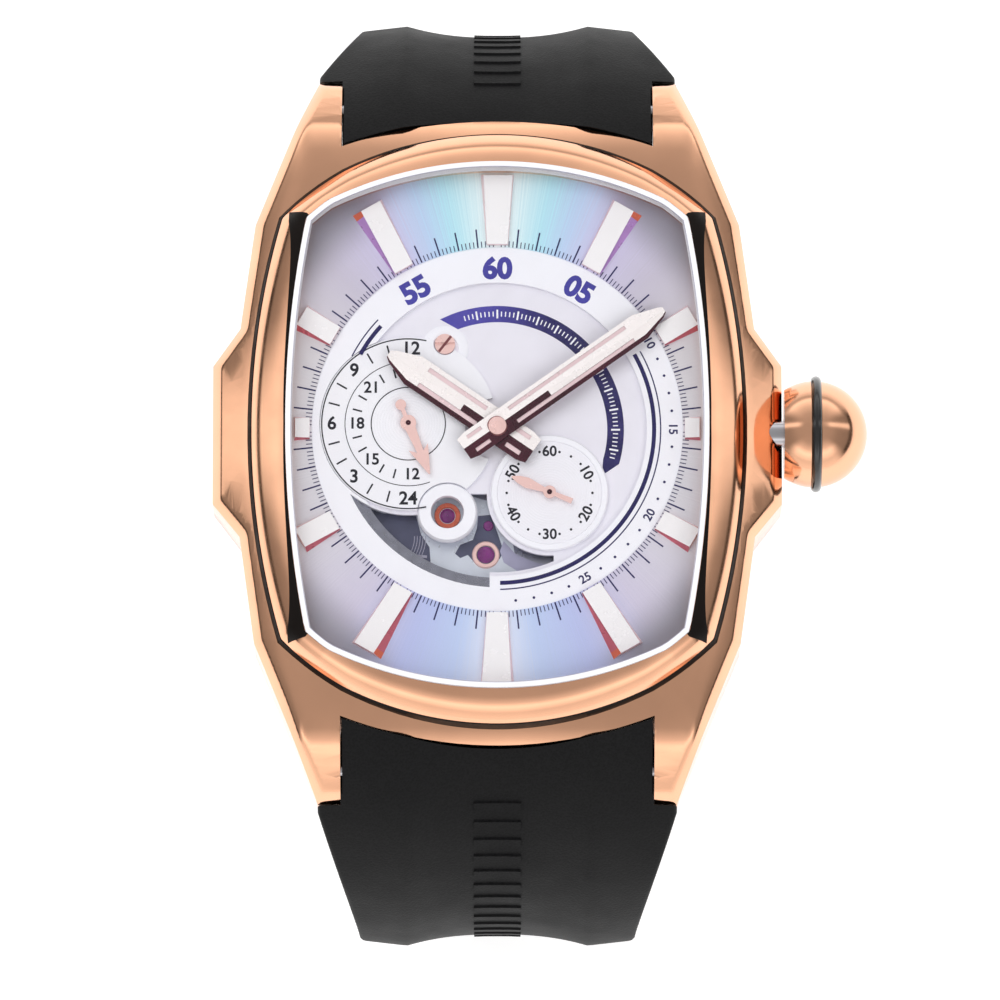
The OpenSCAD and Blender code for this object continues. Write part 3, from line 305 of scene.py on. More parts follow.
def glass(name, gloss):
    """Clear plate: what is behind it, with a gloss that grows towards its edges."""
    g = Material(name)
    clear = g.node("ShaderNodeBsdfTransparent", Color=(1.0, 1.0, 1.0, 1.0))
    edge = g.node("ShaderNodeFresnel", IOR=1.45)
    tint = g.mix(g.noise(200), rgb(236, 244, 255), rgb(250, 252, 255))
    g.set(Base_Color=tint, Roughness=0.04, Metallic=1.0)
    mixer = g.node("ShaderNodeMixShader")
    g.feed(mixer.inputs[0], g.math("MULTIPLY", edge.outputs[0], gloss, clamp=True))
    g.feed(mixer.inputs[1], clear.outputs[0])
    g.feed(mixer.inputs[2], g.shader.outputs[0])
    g.surface(mixer.outputs[0])
    return g.mat


ROSE = (0.94, 0.51, 0.32, 1.0)
M = {
    "rose": metal("rose_gold_polished", ROSE, 0.13, tone=0.03, coat=0.15),
    "rose_brushed": metal("rose_gold_brushed", ROSE, 0.28, brush=(300, 9000, 9000), tone=0.04),
    "steel": metal("steel_brushed", rgb(206, 206, 210), 0.3, brush=(600, 9000, 9000)),
    "steel_round": metal("steel_polished", rgb(200, 200, 206), 0.2),
    "dial": sunburst(),
    "ring": paint("white_lacquer", rgb(246, 246, 253), 0.35, tone=0.015, coat=0.2),
    "bridge": paint("silvered_white", rgb(240, 238, 248), 0.42, metallic=0.15),
    "dual": ringed("dual_dial_white", rgb(246, 246, 252), DUAL_C, 0.22, inner=0.5, outer=2.8),
    "seconds": ringed("seconds_dial_white", rgb(244, 243, 250), SEC_C, 0.2, inner=0.3, outer=3.95),
    "navy": paint("navy_print", rgb(24, 16, 84), 0.4, tone=0.1),
    "band": faded_band(),
    "black": paint("black_print", rgb(16, 14, 30), 0.4, tone=0.1),
    "grey": paint("grey_line", rgb(168, 166, 184), 0.4, tone=0.06),
    "white": paint("white_print", rgb(244, 244, 250), 0.4),
    # Marker facets: the pale colour is a painted lit side, rose and violet are painted shade, and the end
    # colour is a painted orange reflection. The pale one also fills the hands' slots, and the end one colours
    # the ring round the balance jewel
    "marker": paint("marker_top", rgb(252, 250, 252), 0.25, tone=0.01, coat=0.6, metallic=0.1),
    "marker_pale": paint("marker_pale", rgb(250, 222, 226), 0.3, metallic=0.2),
    "marker_shaded_rose": paint("marker_shaded_rose", rgb(206, 104, 120), 0.3, tone=0.12, metallic=0.3),
    "marker_shaded_violet": paint("marker_shaded_violet", rgb(190, 146, 214), 0.3, tone=0.1, metallic=0.3),
    "marker_end": paint("marker_end", rgb(226, 112, 84), 0.3, tone=0.12, metallic=0.3),
    # The hands' light and dark colours are lit and shaded copies: painted light and painted shade on the two
    # halves of a blade. The dark one also colours the small hands' hub pins
    "hand": paint("hand_lit_half", rgb(255, 248, 247), 0.28, tone=0.008, metallic=0.15, coat=0.3),
    "hand_dark": paint("hand_dark", rgb(70, 20, 38), 0.25, tone=0.3, metallic=0.4, coat=0.3),
    "hand_pink": paint("hand_pink", rgb(246, 206, 200), 0.25, tone=0.04, metallic=0.2, coat=0.3),
    "silver": paint("window_silver", rgb(214, 220, 232), 0.3, tone=0.08, metallic=0.25),
    "hand_edge": paint("hand_edge", rgb(120, 62, 66), 0.35, tone=0.1),
    "numerals": paint("numeral_blue", rgb(64, 60, 158), 0.4, tone=0.12),
    "shade": paint("window_shade", rgb(84, 86, 110), 0.35, tone=0.3, metallic=0.3),
    "veil": paint("window_shade_crescent", rgb(176, 174, 202), 0.35, tone=0.1, metallic=0.3),
    "coral": paint("window_coral", rgb(240, 150, 140), 0.35, tone=0.1),
    "plate": perlage("movement_plate", rgb(196, 198, 216)),
    "striped": striped("bridge_stripes", rgb(204, 206, 216)),
    "brass": metal("brass_wheels", rgb(216, 182, 116), 0.24),
    "blue": metal("blued_steel", rgb(70, 92, 168), 0.22, dark=rgb(38, 50, 110)),
    "rotor": metal("rotor_brushed", rgb(190, 192, 200), 0.26, brush=(900, 9000, 9000)),
    "rubber": rubber(),
    "seal": paint("black_seal", rgb(14, 14, 15), 0.22, tone=0.15, spec=0.6, coat=0.5),
    "white_seal": paint("white_seal", rgb(238, 240, 246), 0.4),
    "glass": glass("clear_crystal", 0.4),
    "rim": paint("crystal_rim", rgb(244, 245, 250), 0.2, coat=0.5),
    # Black for the painted dark reflection on the bezel's slope, and for the dark joint round the bezel's
    # foot
    "groove": paint("black_reflection_and_seam", rgb(12, 5, 3), 0.5, tone=0.2, spec=0.2),
}
jewel = Material("ruby")
M["ruby"] = jewel.set(
    Base_Color=jewel.mix(jewel.span(jewel.noise(900, 2), 0.3, 0.7), rgb(112, 30, 112), rgb(158, 56, 150)),
    Roughness=0.1, Transmission_Weight=0.25, Coat_Weight=0.6,
    Normal=jewel.bump(jewel.noise(3000), 3e-7))

DRESS = {
    "rose": ["crown", "button_left", "button_right"],
    "rose_brushed": ["clasp_cover"],
    "steel": ["case_back", "clasp_base", "clasp_blade", "setting_lever"],
    "steel_round": ["back_screws_set", "winding_stem", "crown_tube", "spring_bars", "strap_pins", "fold_pin",
                    "cover_pin", "button_springs", "cannon_pinion", "escape_wheel", "pallet_fork"],
    "glass": ["back_window"],
    "white_seal": ["crystal_gasket"],
    "seal": ["back_gasket", "crown_ring", "stem_gasket"],
    "dial": ["dial_plate"],
    "ring": ["chapter_ring"],
    "bridge": ["dial_bridge"],
    "dual": ["dual_time_dial"],
    "seconds": ["seconds_dial"],
    "hand_pink": ["dual_time_hand", "seconds_hand", "hand_cap", "dial_screw"],
    "plate": ["main_plate", "movement_ring", "holder_ring"],
    "striped": ["train_bridge", "balance_cock", "pallet_bridge"],
    "brass": ["hour_wheel", "minute_wheel", "dual_time_wheel", "barrel", "centre_wheel", "third_wheel",
              "fourth_wheel", "balance_wheel"],
    "blue": ["hairspring", "bridge_screws"],
    "ruby": ["jewels"],
    "rotor": ["rotor", "rotor_bearing"],
}
for look, names in DRESS.items():
    for name in names:
        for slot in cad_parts[name].material_slots:
            slot.material = M[look]


# Mesh makers, all in millimetres

def placed(name, data):
    """New object in the scene."""
    obj = bpy.data.objects.new(name, data)
    bpy.context.scene.collection.objects.link(obj)
    return obj


def made(name, bm):
    """New mesh from a finished bmesh."""
    mesh = bpy.data.meshes.new(name)
    bm.to_mesh(mesh)
    bm.free()
    return mesh


@contextmanager
def opened(mesh):
    """A mesh's bmesh, written back where the block ends."""
    bm = bmesh.new()
    bm.from_mesh(mesh)
    yield bm
    bm.to_mesh(mesh)
    bm.free()


def shade_smooth(mesh, angle):
    """Smooth shading, with edges of more than angle degrees left sharp."""
    mesh.shade_smooth()
    mesh.set_sharp_from_angle(angle=math.radians(angle))


def piece(name, verts, faces, mats, body="watch", looks=None, smooth=None):
    """Object from points in millimetres. looks gives each face's place in mats."""
    mesh = bpy.data.meshes.new(name)
    mesh.from_pydata([Vector(v) * MM for v in verts], [], faces)
    for m in mats if isinstance(mats, (list, tuple)) else [mats]:
        mesh.materials.append(M[m])
    if looks:
        mesh.polygons.foreach_set("material_index", looks)
    mesh.validate()
    with opened(mesh) as bm:
        bmesh.ops.recalc_face_normals(bm, faces=bm.faces)
    if smooth is not None:
        shade_smooth(mesh, smooth)
    obj = placed(name, mesh)
    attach(obj, body)
    return obj


def belt(a, b, n):
    """Faces between two rings of n points, of which the first are a and b."""
    return [[a + i, a + (i + 1) % n, b + (i + 1) % n, b + i] for i in range(n)]


def slabs(name, outlines, low, high, mat, body="watch"):
    """One piece of flat slabs, each an outline of (x, y) between the heights low and high."""
    verts, faces = [], []
    for outline in outlines:
        k, n = len(verts), len(outline)
        verts += [(x, y, z) for z in (low, high) for x, y in outline]
        faces.append([k + i for i in reversed(range(n))])
        faces.append([k + n + i for i in range(n)])
        faces += belt(k, k + n, n)
    piece(name, verts, faces, mat, body)


def printed(name, outlines, low, mat):
    """Slabs as thin as a print."""
    slabs(name, outlines, low, low + PRINT, mat)


def clock(r, a, c=(0.0, 0.0)):
    """Point at radius r and a degrees clockwise from 12."""
    return (c[0] + r * math.sin(math.radians(a)), c[1] + r * math.cos(math.radians(a)))


def turned(x, y, a):
    """Point (x, y) turned a degrees clockwise about the dial's centre."""
    t = math.radians(a)
    return (x * math.cos(t) + y * math.sin(t), y * math.cos(t) - x * math.sin(t))


def band(r0, r1, a0, a1, c=(0.0, 0.0), step=2.0):
    """Outline of a curved band between two radii and two angles."""
    n = max(2, int(abs(a1 - a0) / step) + 1)
    angles = [a0 + (a1 - a0) * i / n for i in range(n + 1)]
    return [clock(r1, a, c) for a in angles] + [clock(r0, a, c) for a in reversed(angles)]


def tick(r0, r1, a, w, c=(0.0, 0.0)):
    """Outline of a straight stroke of width w from radius r0 to r1."""
    ux, uy = clock(1, a)
    vx, vy = uy * w / 2, -ux * w / 2
    corners = ((r0, -1), (r0, 1), (r1, 1), (r1, -1))
    return [(c[0] + ux * r + s * vx, c[1] + uy * r + s * vy) for r, s in corners]


def disc(r, c=(0.0, 0.0), n=24):
    return [clock(r, 360 * i / n, c) for i in range(n)]


def loops(name, rings, mat, body="watch", smooth=40):
    """Closed ring that passes through rings, each a list of (x, y, z) with as many points."""
    n = len(rings[0])
    verts = [v for ring in rings for v in ring]
    faces = []
    for k in range(len(rings)):
        faces += belt(k * n, (k + 1) % len(rings) * n, n)
    return piece(name, verts, faces, mat, body, smooth=smooth)


def circles(name, profile, c, mat, body="watch", n=72):
    """Ring turned about c from a closed profile of (radius, z)."""
    rings = [[clock(r, 360 * i / n, c) + (z,) for i in range(n)] for r, z in profile]
    loops(name, rings, mat, body)


def collar(name, radii, low, rise, c, mat, n=72):
    """Raised ring. radii holds those of its inner foot, its top's two edges and its outer foot."""
    heights = (low, low + rise, low + rise, low)
    circles(name, list(zip(radii, heights)), c, mat, n=n)


def arc_r(rise, chord):
    """Radius of an arc with this rise over half its chord."""
    return (rise * rise + chord * chord) / (2 * rise)


def tonneau(hw, hh, cx, cy, grow=0.0, n=240):
    """Outline of four arcs through the ends of its axes and its corners, with the corners eased."""
    side, end = arc_r(hw - cx, cy), arc_r(hh - cy, cx)
    ease = 0.35
    rounds = [((0, 0), math.hypot(cx, cy) - ease + grow), ((hw - side, 0), side + grow),
              ((side - hw, 0), side + grow), ((0, hh - end), end + grow), ((0, end - hh), end + grow)]
    out = []
    for i in range(n):
        a = 2 * math.pi * i / n
        ux, uy = math.cos(a), math.sin(a)
        reach = []
        for (x, y), r in rounds:
            along = ux * x + uy * y
            reach.append(along + math.sqrt(along * along - x * x - y * y + r * r))
        t = min(reach)
        out.append((ux * t, uy * t))
    return out


def glass_plan(grow=0.0, n=240):
    return tonneau(GLASS_X, GLASS_Y, GLASS_CORNER_X, GLASS_CORNER_Y, grow, n)


def bezel_plan(grow=0.0, n=240):
    return tonneau(BEZEL_X, BEZEL_Y, BEZEL_CORNER_X, BEZEL_CORNER_Y, grow, n)


def lettering(name, items, z, mat, bold=0.022):
    """Numbers, each (text, size, x, y, turn in degrees), as one thin piece."""
    half = 0.006
    whole = bmesh.new()
    for text, size, x, y, turn in items:
        curve = bpy.data.curves.new("text", "FONT")
        curve.body = text
        curve.size = size * MM
        curve.align_x = curve.align_y = "CENTER"
        curve.extrude = half * MM
        curve.offset = bold * size * MM
        curve.resolution_u = 4
        obj = placed("text", curve)
        bpy.context.view_layer.update()
        part = bpy.data.meshes.new_from_object(obj)
        spot = Matrix.Translation(Vector((x, y, z + half)) * MM)
        part.transform(spot @ Matrix.Rotation(math.radians(turn), 4, "Z"))
        whole.from_mesh(part)
        bpy.data.objects.remove(obj)
        bpy.data.curves.remove(curve)
        bpy.data.meshes.remove(part)
    mesh = made(name, whole)
    mesh.materials.append(M[mat])
    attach(placed(name, mesh), "watch")


def soften(node, width):
    """Rounds a node's edges a little, so that they catch the light."""
    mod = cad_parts[node].modifiers.new("edges", "BEVEL")
    mod.width = width * MM
    mod.segments = 2
    mod.limit_method = "ANGLE"
    mod.angle_limit = math.radians(32)


# Printing on the dial

TRACK_R = 14.52
NUMBER_R, SMALL_R = 12.75, 13.72
printed("minute_track", [tick(TRACK_R, 16.0, i * 6, 0.12) for i in range(60) if i % 5]
        + [tick(TRACK_R, 15.0, i * 1.2, 0.07) for i in range(300) if i % 5], DIAL, "navy")
printed("ring_arcs", [band(12.1, 12.42, 61, 179), band(12.72, 12.82, 61, 179),
                      band(12.1, 12.42, 299, 312), band(12.72, 12.82, 297, 313)], RING, "navy")
lettering("minute_numbers", [(text, 2.3, *clock(NUMBER_R, a), turn) for text, a, turn in
                             (("55", 330, 30), ("60", 0, 0), ("05", 30, -30))], RING, "numerals", bold=0.045)
lettering("ring_numbers", [(str(m), 0.95, *clock(SMALL_R, m * 6), (0 if m < 20 else 180) - m * 6)
                           for m in (10, 15, 20, 25)], RING, "navy")
printed("ring_dots", [disc(0.11, clock(SMALL_R, a), 12) for a in range(66, 176, 6) if a % 30], RING, "navy")

BAND_LOW, BAND_HIGH = 8.6, 9.9
navy_band = band(BAND_LOW, BAND_HIGH, 339, 466)
middle = len(navy_band) // 2
navy_band = [clock(BAND_HIGH, 333)] + navy_band[:middle] + [clock(BAND_LOW + 0.35, 474)] + navy_band[middle:]
printed("navy_band", [navy_band], SUB, "band")
slabs("band_scale", [tick(9.05, 9.45, a, 0.09) for a in range(344, 466, 2) if a % 10]
      + [tick(8.9, 9.6, a, 0.14) for a in range(350, 466, 10)], SUB + PRINT, SUB + 2 * PRINT, "white")

# Dual-time dial
printed("dual_rings", [band(6.72, 6.82, 168, 372, DUAL_C), band(4.92, 4.98, 160, 380, DUAL_C),
                       band(2.86, 2.94, 0, 360, DUAL_C)], DUAL_Z, "black")
printed("dual_ticks", [tick(r0, r1, a, 0.13, DUAL_C) for r0, r1 in ((5.55, 6.45), (3.75, 4.5))
                       for a in range(195, 361, 15) if a % 45], DUAL_Z, "black")
OUTER_HOURS = (("24", 180), ("3", 225), ("6", 270), ("9", 315), ("12", 2))
INNER_HOURS = (("12", 176), ("15", 225), ("18", 270), ("21", 315), ("24", 4))
lettering("dual_numbers", [(text, size, *clock(r, a, DUAL_C), 0) for size, r, hours in
                           ((1.45, 5.98, OUTER_HOURS), (1.25, 4.05, INNER_HOURS)) for text, a in hours],
          DUAL_Z, "black")

# Small seconds dial
collar("seconds_border", (4.05, 4.12, 4.5, 4.6), SEC_Z, 0.12, SEC_C, "ring")
printed("seconds_dots", [disc(0.1, clock(3.35, a + d, SEC_C), 12)
                         for a in range(0, 360, 60) for d in (-13.5, 13.5, 30)], SEC_Z, "black")
SECONDS = (("60", 0, 0), ("10", 60, -60), ("20", 120, 60), ("30", 180, 0), ("40", 240, -60), ("50", 300, 60))
lettering("seconds_numbers", [(text, 1.15, *clock(3.3, a, SEC_C), turn) for text, a, turn in SECONDS],
          SEC_Z, "black")

# Raised rings round the balance jewel and the lower jewel
plate_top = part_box("movement_ring")[0].z / MM + 1.302
collar("jewel_boss", (1.27, 1.3, 2.2, 2.35), SUB, 0.3, HEART_C, "ring")
collar("jewel_ring", (0.62, 0.68, 0.98, 1.04), plate_top, 0.22, HEART_C, "marker_end")
collar("window_jewel_ring", (0.7, 0.75, 1.0, 1.1), plate_top, 0.15, WINDOW_JEWEL_C, "hand_pink")

# What shows in the open cut-out
LEFT_SHADE = [(-10.4, -5.9), (-8.88, -6.4), (-6.39, -6.5), (-5.96, -8.09), (-5.3, -9.1), (-5.22, -10.3),
              (-5.6, -11.0), (-6.54, -11.5), (-7.42, -11.3), (-8.44, -10.1), (-9.4, -8.8), (-10.2, -7.4)]
RIGHT_SHADE = [(-3.3, -9.6), (-2.9, -8.9), (-1.9, -8.5), (-1.6, -7.6), (-1.5, -6.6), (-0.5, -6.5),
               (0.1, -8.2), (0.5, -9.4), (0.2, -10.0), (-0.7, -10.6), (-1.8, -10.3), (-2.3, -9.7),
               (-2.9, -9.95)]
# The lilac grey crescent beside the seconds dial is painted shade on the plate
SHADE_CRESCENT = [(0.5, -8.6), (1.4, -9.6), (2.9, -10.3), (4.8, -10.6), (3.6, -11.1), (1.6, -11.0), (0.5, -10.3),
        (0.2, -9.4)]
COIL_STUD = [(-9.1, -9.4), (-5.5, -9.75), (-5.5, -9.95), (-8.9, -9.7)]
COILS = [band(r, r + 0.05, 88, 148, (-9.0, -8.3), 4) for r in (2.5, 2.72, 2.94, 3.16, 3.38)]
for name, shapes, low, high, look in (
        ("window_base", [band(5.4, 12.6, 172, 252)], -0.02, 0.012, "silver"),
        ("window_shade", [LEFT_SHADE, RIGHT_SHADE], 0, 0.024, "shade"),
        ("window_shade_crescent", [SHADE_CRESCENT], 0, 0.032, "veil"),
        ("window_coils", COILS + [COIL_STUD], 0, 0.05, "grey"),
        ("window_coral", [band(5.0, 5.35, 262, 214, (-5.0, -7.2), 4)], 0, 0.05, "coral")):
    slabs(name, shapes, plate_top + low, plate_top + high, look)
for name, c, r in (("heart_jewel_face", HEART_C, 0.6), ("window_jewel_face", WINDOW_JEWEL_C, 0.68)):
    rounding = ((0.02, 0), (0.02, 0.14), (r * 0.6, 0.12), (r * 0.9, 0.07), (r, 0))
    circles(name, [(q, plate_top + z) for q, z in rounding], c, "ruby", n=48)
collar("window_jewel_small", (0.02, 0.02, 0.34, 0.42), plate_top, 0.12, (-0.7, -7.4), "ruby", n=32)
for name, c, r in (("window_screw_left", (-4.7, -12.0), 0.55), ("window_screw_right", (-2.1, -11.9), 0.36)):
    collar(name, (r * 0.55, r * 0.6, r * 0.7, r * 0.72), plate_top, 0.06, c, "grey", n=40)
    collar(name + "_rim", (r, r + 0.02, r + 0.08, r + 0.1), plate_top, 0.04, c, "grey", n=40)

# Slot and boss of the dial's screw. The slot is a dark strip laid on the head: painted shade of its slot
screw_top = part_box("dial_screw")[1].z / MM
slabs("screw_slot", [tick(-0.78, 0.78, 38, 0.2, SCREW_C)], screw_top - 0.02, screw_top + 0.01,
      "hand_edge")
collar("screw_boss", (1.05, 1.07, 1.72, 1.85), SUB, 0.1, (SCREW_C[0], SCREW_C[1] - 0.35), "ring")

# Hour markers, faceted, with painted light, shade and reflections on their facets

TOP, LIT_PALE, SHADED_ROSE, SHADED_VIOLET, END_REFLECTION = range(5)


def edge_at(a, inset):
    """How far the crystal's outline, less inset, reaches at a degrees clockwise from 12."""
    def apart(p):
        return abs((math.degrees(math.atan2(p[0], p[1])) - a + 180) % 360 - 180)
    return math.hypot(*min(glass_plan(-inset), key=apart))


def marker(a):
    """Points, faces and looks of one marker: a flat top between a narrow side painted pale as lit and a wider
    side painted rose or violet as shaded.
    """
    plain = a % 180 == 0
    inner, low, top = 14.65, DIAL, DIAL + 0.42
    outer = min(edge_at(a, 0.62), 20.4)
    widen = (outer - inner) / 9.4
    w0, w1 = 0.85, 0.85 + 0.75 * widen
    slope = 0.1 if plain else 0.1 + 0.75 * w1 * widen
    # dark picks the side that takes the painted shade
    dark = 1 if a in (30, 60, 90, 120, 150) or plain else -1
    lip = 0.12 if plain else 0.55
    flat = [(-dark * (w0 - 0.05), inner + 0.02), (dark * (w0 - 0.05), inner + 0.02),
            (-dark * (w1 - 0.22), outer - 0.08), (dark * (w1 - slope), outer - 0.08)]
    foot = [(-dark * w0, inner), (dark * w0, inner), (-dark * w1, outer), (dark * w1, outer)]
    pts = [(x, r, low) for x, r in foot] + [(x, r, top) for x, r in flat]
    part, whole = outer - lip - inner, outer - inner
    pts += [(dark * (w0 + (w1 - w0) * part / whole), outer - lip, low),
            (dark * (w0 - 0.05 + (w1 - slope - w0 + 0.05) * part / whole), outer - lip, top)]
    pts = [turned(x, y, a) + (z,) for x, y, z in pts]
    faces = [(4, 5, 9, 7, 6), (0, 4, 6, 2), (1, 8, 9, 5), (8, 3, 7, 9), (0, 1, 5, 4), (2, 6, 7, 3),
             (0, 2, 3, 8, 1)]
    # Painted shade on the dark side. On the markers at 1, 5, 7 and 11, the outer end takes a painted orange
    # reflection
    side = SHADED_VIOLET if a in (30, 330) else SHADED_ROSE
    end = END_REFLECTION if a in (30, 150, 210, 330) else side
    if plain:
        side = end = LIT_PALE
    return pts, faces, [TOP, LIT_PALE, side, end, LIT_PALE, LIT_PALE, TOP]


def hour_marks():
    """The twelve markers as one piece."""
    verts, faces, looks = [], [], []
    for i in range(12):
        pts, sides, shades = marker(i * 30)
        faces += [tuple(len(verts) + j for j in side) for side in sides]
        verts += pts
        looks += shades
    mats = ["marker", "marker_pale", "marker_shaded_rose", "marker_shaded_violet", "marker_end"]
    markers = piece("hour_marks", verts, faces, mats, looks=looks)
    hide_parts("hour_markers")


hour_marks()

# Hour and minute hands, with a ridge along the middle and two slots in each half


def hand(name, node, body, angle, length, width, tail, low, dark):
    """Blade of two halves, of which the one on side dark gets painted shade, and its slots' inlays."""
    thick, half = 0.25, width / 2
    xs = [0.0, 0.42 * half, 0.7 * half, half]
    split = 1.5 + 0.3 * (length - 4.8)
    ys = [-tail, -tail + 0.75, -tail + 2.1, 1.5, split, length - 3.3, length - 2.3, length - 0.35, length]
    verts, faces, looks = [], [], []

    def corner(col, row, side):
        reach = {0: 0.84, 7: 0.42, 8: 0.22}.get(row, 1.0)
        x = xs[col] * reach * side
        drop = 0.55 * thick * xs[col] / half
        return (x, ys[row], low + thick - drop * (0.4 if row == 8 else 1.0))

    open_cells = {(1, 1), (1, 3), (1, 4)}
    cells = [(c, r) for c in range(3) for r in range(len(ys) - 1) if (c, r) not in open_cells]
    for side in (-1, 1):
        grid = {}
        for row in range(len(ys)):
            for col in range(4):
                x, y, z = corner(col, row, side)
                grid[col, row] = len(verts)
                verts += [(x, y, z), (x, y, low)]
        edges = {}
        for c, r in cells:
            ring = [grid[c, r], grid[c + 1, r], grid[c + 1, r + 1], grid[c, r + 1]]
            faces.append(ring)
            # Painted shade on the side dark: its outer strip and the part from the tail to past the centre
            looks.append(1 if side == dark and (c == 2 or r < 4) else 0)
            faces.append([v + 1 for v in reversed(ring)])
            looks.append(1)
            for k in range(4):
                e = (ring[k], ring[(k + 1) % 4])
                edges.setdefault(frozenset(e), []).append(e)
        for e in edges.values():
            p, q = e[0]
            on_ridge = abs(verts[p][0]) < 1e-9 and abs(verts[q][0]) < 1e-9
            if len(e) == 1 and not on_ridge:
                faces.append([p, q, q + 1, p + 1])
                looks.append(1)
    verts = [turned(x, y, angle) + (z,) for x, y, z in verts]
    obj = piece(name, verts, faces, ["hand", "hand_dark"], body, looks=looks)
    with opened(obj.data) as bm:
        bmesh.ops.remove_doubles(bm, verts=bm.verts, dist=1e-8)
        bmesh.ops.recalc_face_normals(bm, faces=bm.faces)
    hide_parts(node)
    inlays = []
    for side in (-1, 1):
        for row, end in ((1, 2), (3, 5)):
            x0, x1 = side * xs[1], side * xs[2]
            outline = [(x0, ys[row]), (x0, ys[end]), (x1, ys[end]), (x1, ys[row])]
            inlays.append([turned(x, y, angle) for x, y in outline])
    slabs(name + "_inlay", inlays, low + 0.01, low + 0.3 * thick, "marker_pale", body)


hour_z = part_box("hour_hand")[0].z / MM
minute_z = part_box("minute_hand")[0].z / MM
hand("hour_blade", "hour_hand", "hours", 304.55, 10.3, 2.6, 3.4, hour_z, -1)
hand("minute_blade", "minute_hand", "minutes", 54.6, 16.0, 2.2, 3.2, minute_z, 1)
cap_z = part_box("hand_cap")[0].z / MM
circles("hand_collar", [(0.42, hour_z), (0.42, cap_z), (0.72, cap_z), (0.8, cap_z - 0.08), (0.8, hour_z)],
        (0, 0), "hand_edge", "minutes")
HUB_PIN = ((0.02, -0.02), (0.02, 0.03), (0.13, 0.05), (0.2, 0.03), (0.2, -0.02))
for name, c, body, node in (("dual_hub_pin", DUAL_C, "dual_time", "dual_time_hand"),
                            ("seconds_hub_pin", SEC_C, "seconds", "seconds_hand")):
    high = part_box(node)[1].z / MM
    circles(name, [(r, high + z) for r, z in HUB_PIN], c, "hand_dark", body, n=32)

# Case with rounded upper edges

# Heights from the dial's top. FLAT_Z lies just under the solid's own top, so that the cut takes all of it
FLAT_Z, FLANK_Z, FLANK_DROP = -0.154, -0.15, 0.55
LUG_R, LUG_Y, LUG_Z = 25.9, 10.7, -23.0
SIDE_R = arc_r(BEZEL_X - BEZEL_CORNER_X, BEZEL_CORNER_Y)
CASE_SIDE = ((GUARD_X, 0), (GUARD_X, 5.5), (20.15, 8.3), (19.0, 16.7), (LUG_X, 28.85), (0, 28.85))
GRID = 0.25
MOULD_X, MOULD_Y, MOULD_DEPTH = 23, 29.4, 20
CUT_TRIES = 20


def soft_min(a, b, k):
    """The lower of a and b, rounded where they are less than k apart."""
    h = max(0.0, min(1.0, 0.5 + 0.5 * (b - a) / k))
    return b + (a - b) * h - k * h * (1 - h)


def round_off(d):
    """How much lower the top lies near the outline, d inside it. Beyond it the slope stays the same."""
    r, k = 0.9, 1.7
    if d < 0:
        return k * (r / 2 - d)
    return k * (r - min(r, d)) ** 2 / (2 * r)


def to_edge(x, y):
    """Distance inward from the nearest side of the case's plan, negative outside."""
    x, y = abs(x), abs(y)
    best = math.inf
    for (ax, ay), (bx, by) in zip(CASE_SIDE, CASE_SIDE[1:]):
        ux, uy = bx - ax, by - ay
        n = math.hypot(ux, uy)
        t = max(0.0, min(1.0, ((x - ax) * ux + (y - ay) * uy) / (n * n)))
        d = math.hypot(x - ax - ux * t, y - ay - uy * t)
        if (x - ax) * uy - (y - ay) * ux > 0:
            d = -d
        if abs(d) < abs(best):
            best = d
    return best


def case_top(x, y):
    """Height of the case's upper side: flat in the middle, arched to the lugs, sloping over the flanks."""
    out = max(0.0, abs(y) - LUG_Y)
    z = soft_min(FLAT_Z, LUG_Z + math.sqrt(max(0.0, LUG_R ** 2 - out ** 2)), 1.3)
    side = math.hypot(abs(x) - BEZEL_X + SIDE_R, y)
    z = soft_min(z, FLANK_Z - FLANK_DROP * (side - SIDE_R), 0.5)
    return DIAL + z - round_off(to_edge(x, y))


def mould():
    """Block that is wider and deeper than the case, with case_top as its upper side."""
    cols, lines = int(2 * MOULD_X / GRID) + 1, int(2 * MOULD_Y / GRID) + 1
    grid = [(GRID * i - MOULD_X, GRID * j - MOULD_Y) for j in range(lines) for i in range(cols)]
    verts = [(x, y, case_top(x, y)) for x, y in grid]
    faces = [(j * cols + i, j * cols + i + 1, (j + 1) * cols + i + 1, (j + 1) * cols + i)
             for j in range(lines - 1) for i in range(cols - 1)]
    south, east = list(range(cols)), [j * cols + cols - 1 for j in range(1, lines)]
    north = [(lines - 1) * cols + i for i in reversed(range(cols - 1))]
    west = [j * cols for j in reversed(range(1, lines - 1))]
    border = south + east + north + west
    first, n = len(verts), len(border)
    verts += [(verts[k][0], verts[k][1], DIAL - MOULD_DEPTH) for k in border]
    faces += [(border[k], first + k, first + (k + 1) % n, border[(k + 1) % n]) for k in range(n)]
    faces.append(tuple(first + k for k in range(n)))
    return piece("mould", verts, faces, "rose")


def add_boolean(obj, operation, other):
    mod = obj.modifiers.new("boolean", "BOOLEAN")
    mod.operation = operation
    mod.solver = "EXACT"
    mod.object = other


def apply_modifiers(obj):
    """Puts the form that an object's modifiers give it into its mesh."""
    bpy.context.view_layer.update()
    done = bpy.data.meshes.new_from_object(obj.evaluated_get(bpy.context.evaluated_depsgraph_get()))
    obj.modifiers.clear()
    obj.data = done


def lowest(mesh):
    return min(v.co.z for v in mesh.vertices)


def on_top(face):
    return all(abs(v.co.z / MM - case_top(v.co.x / MM, v.co.y / MM)) < 0.06 for v in face.verts)


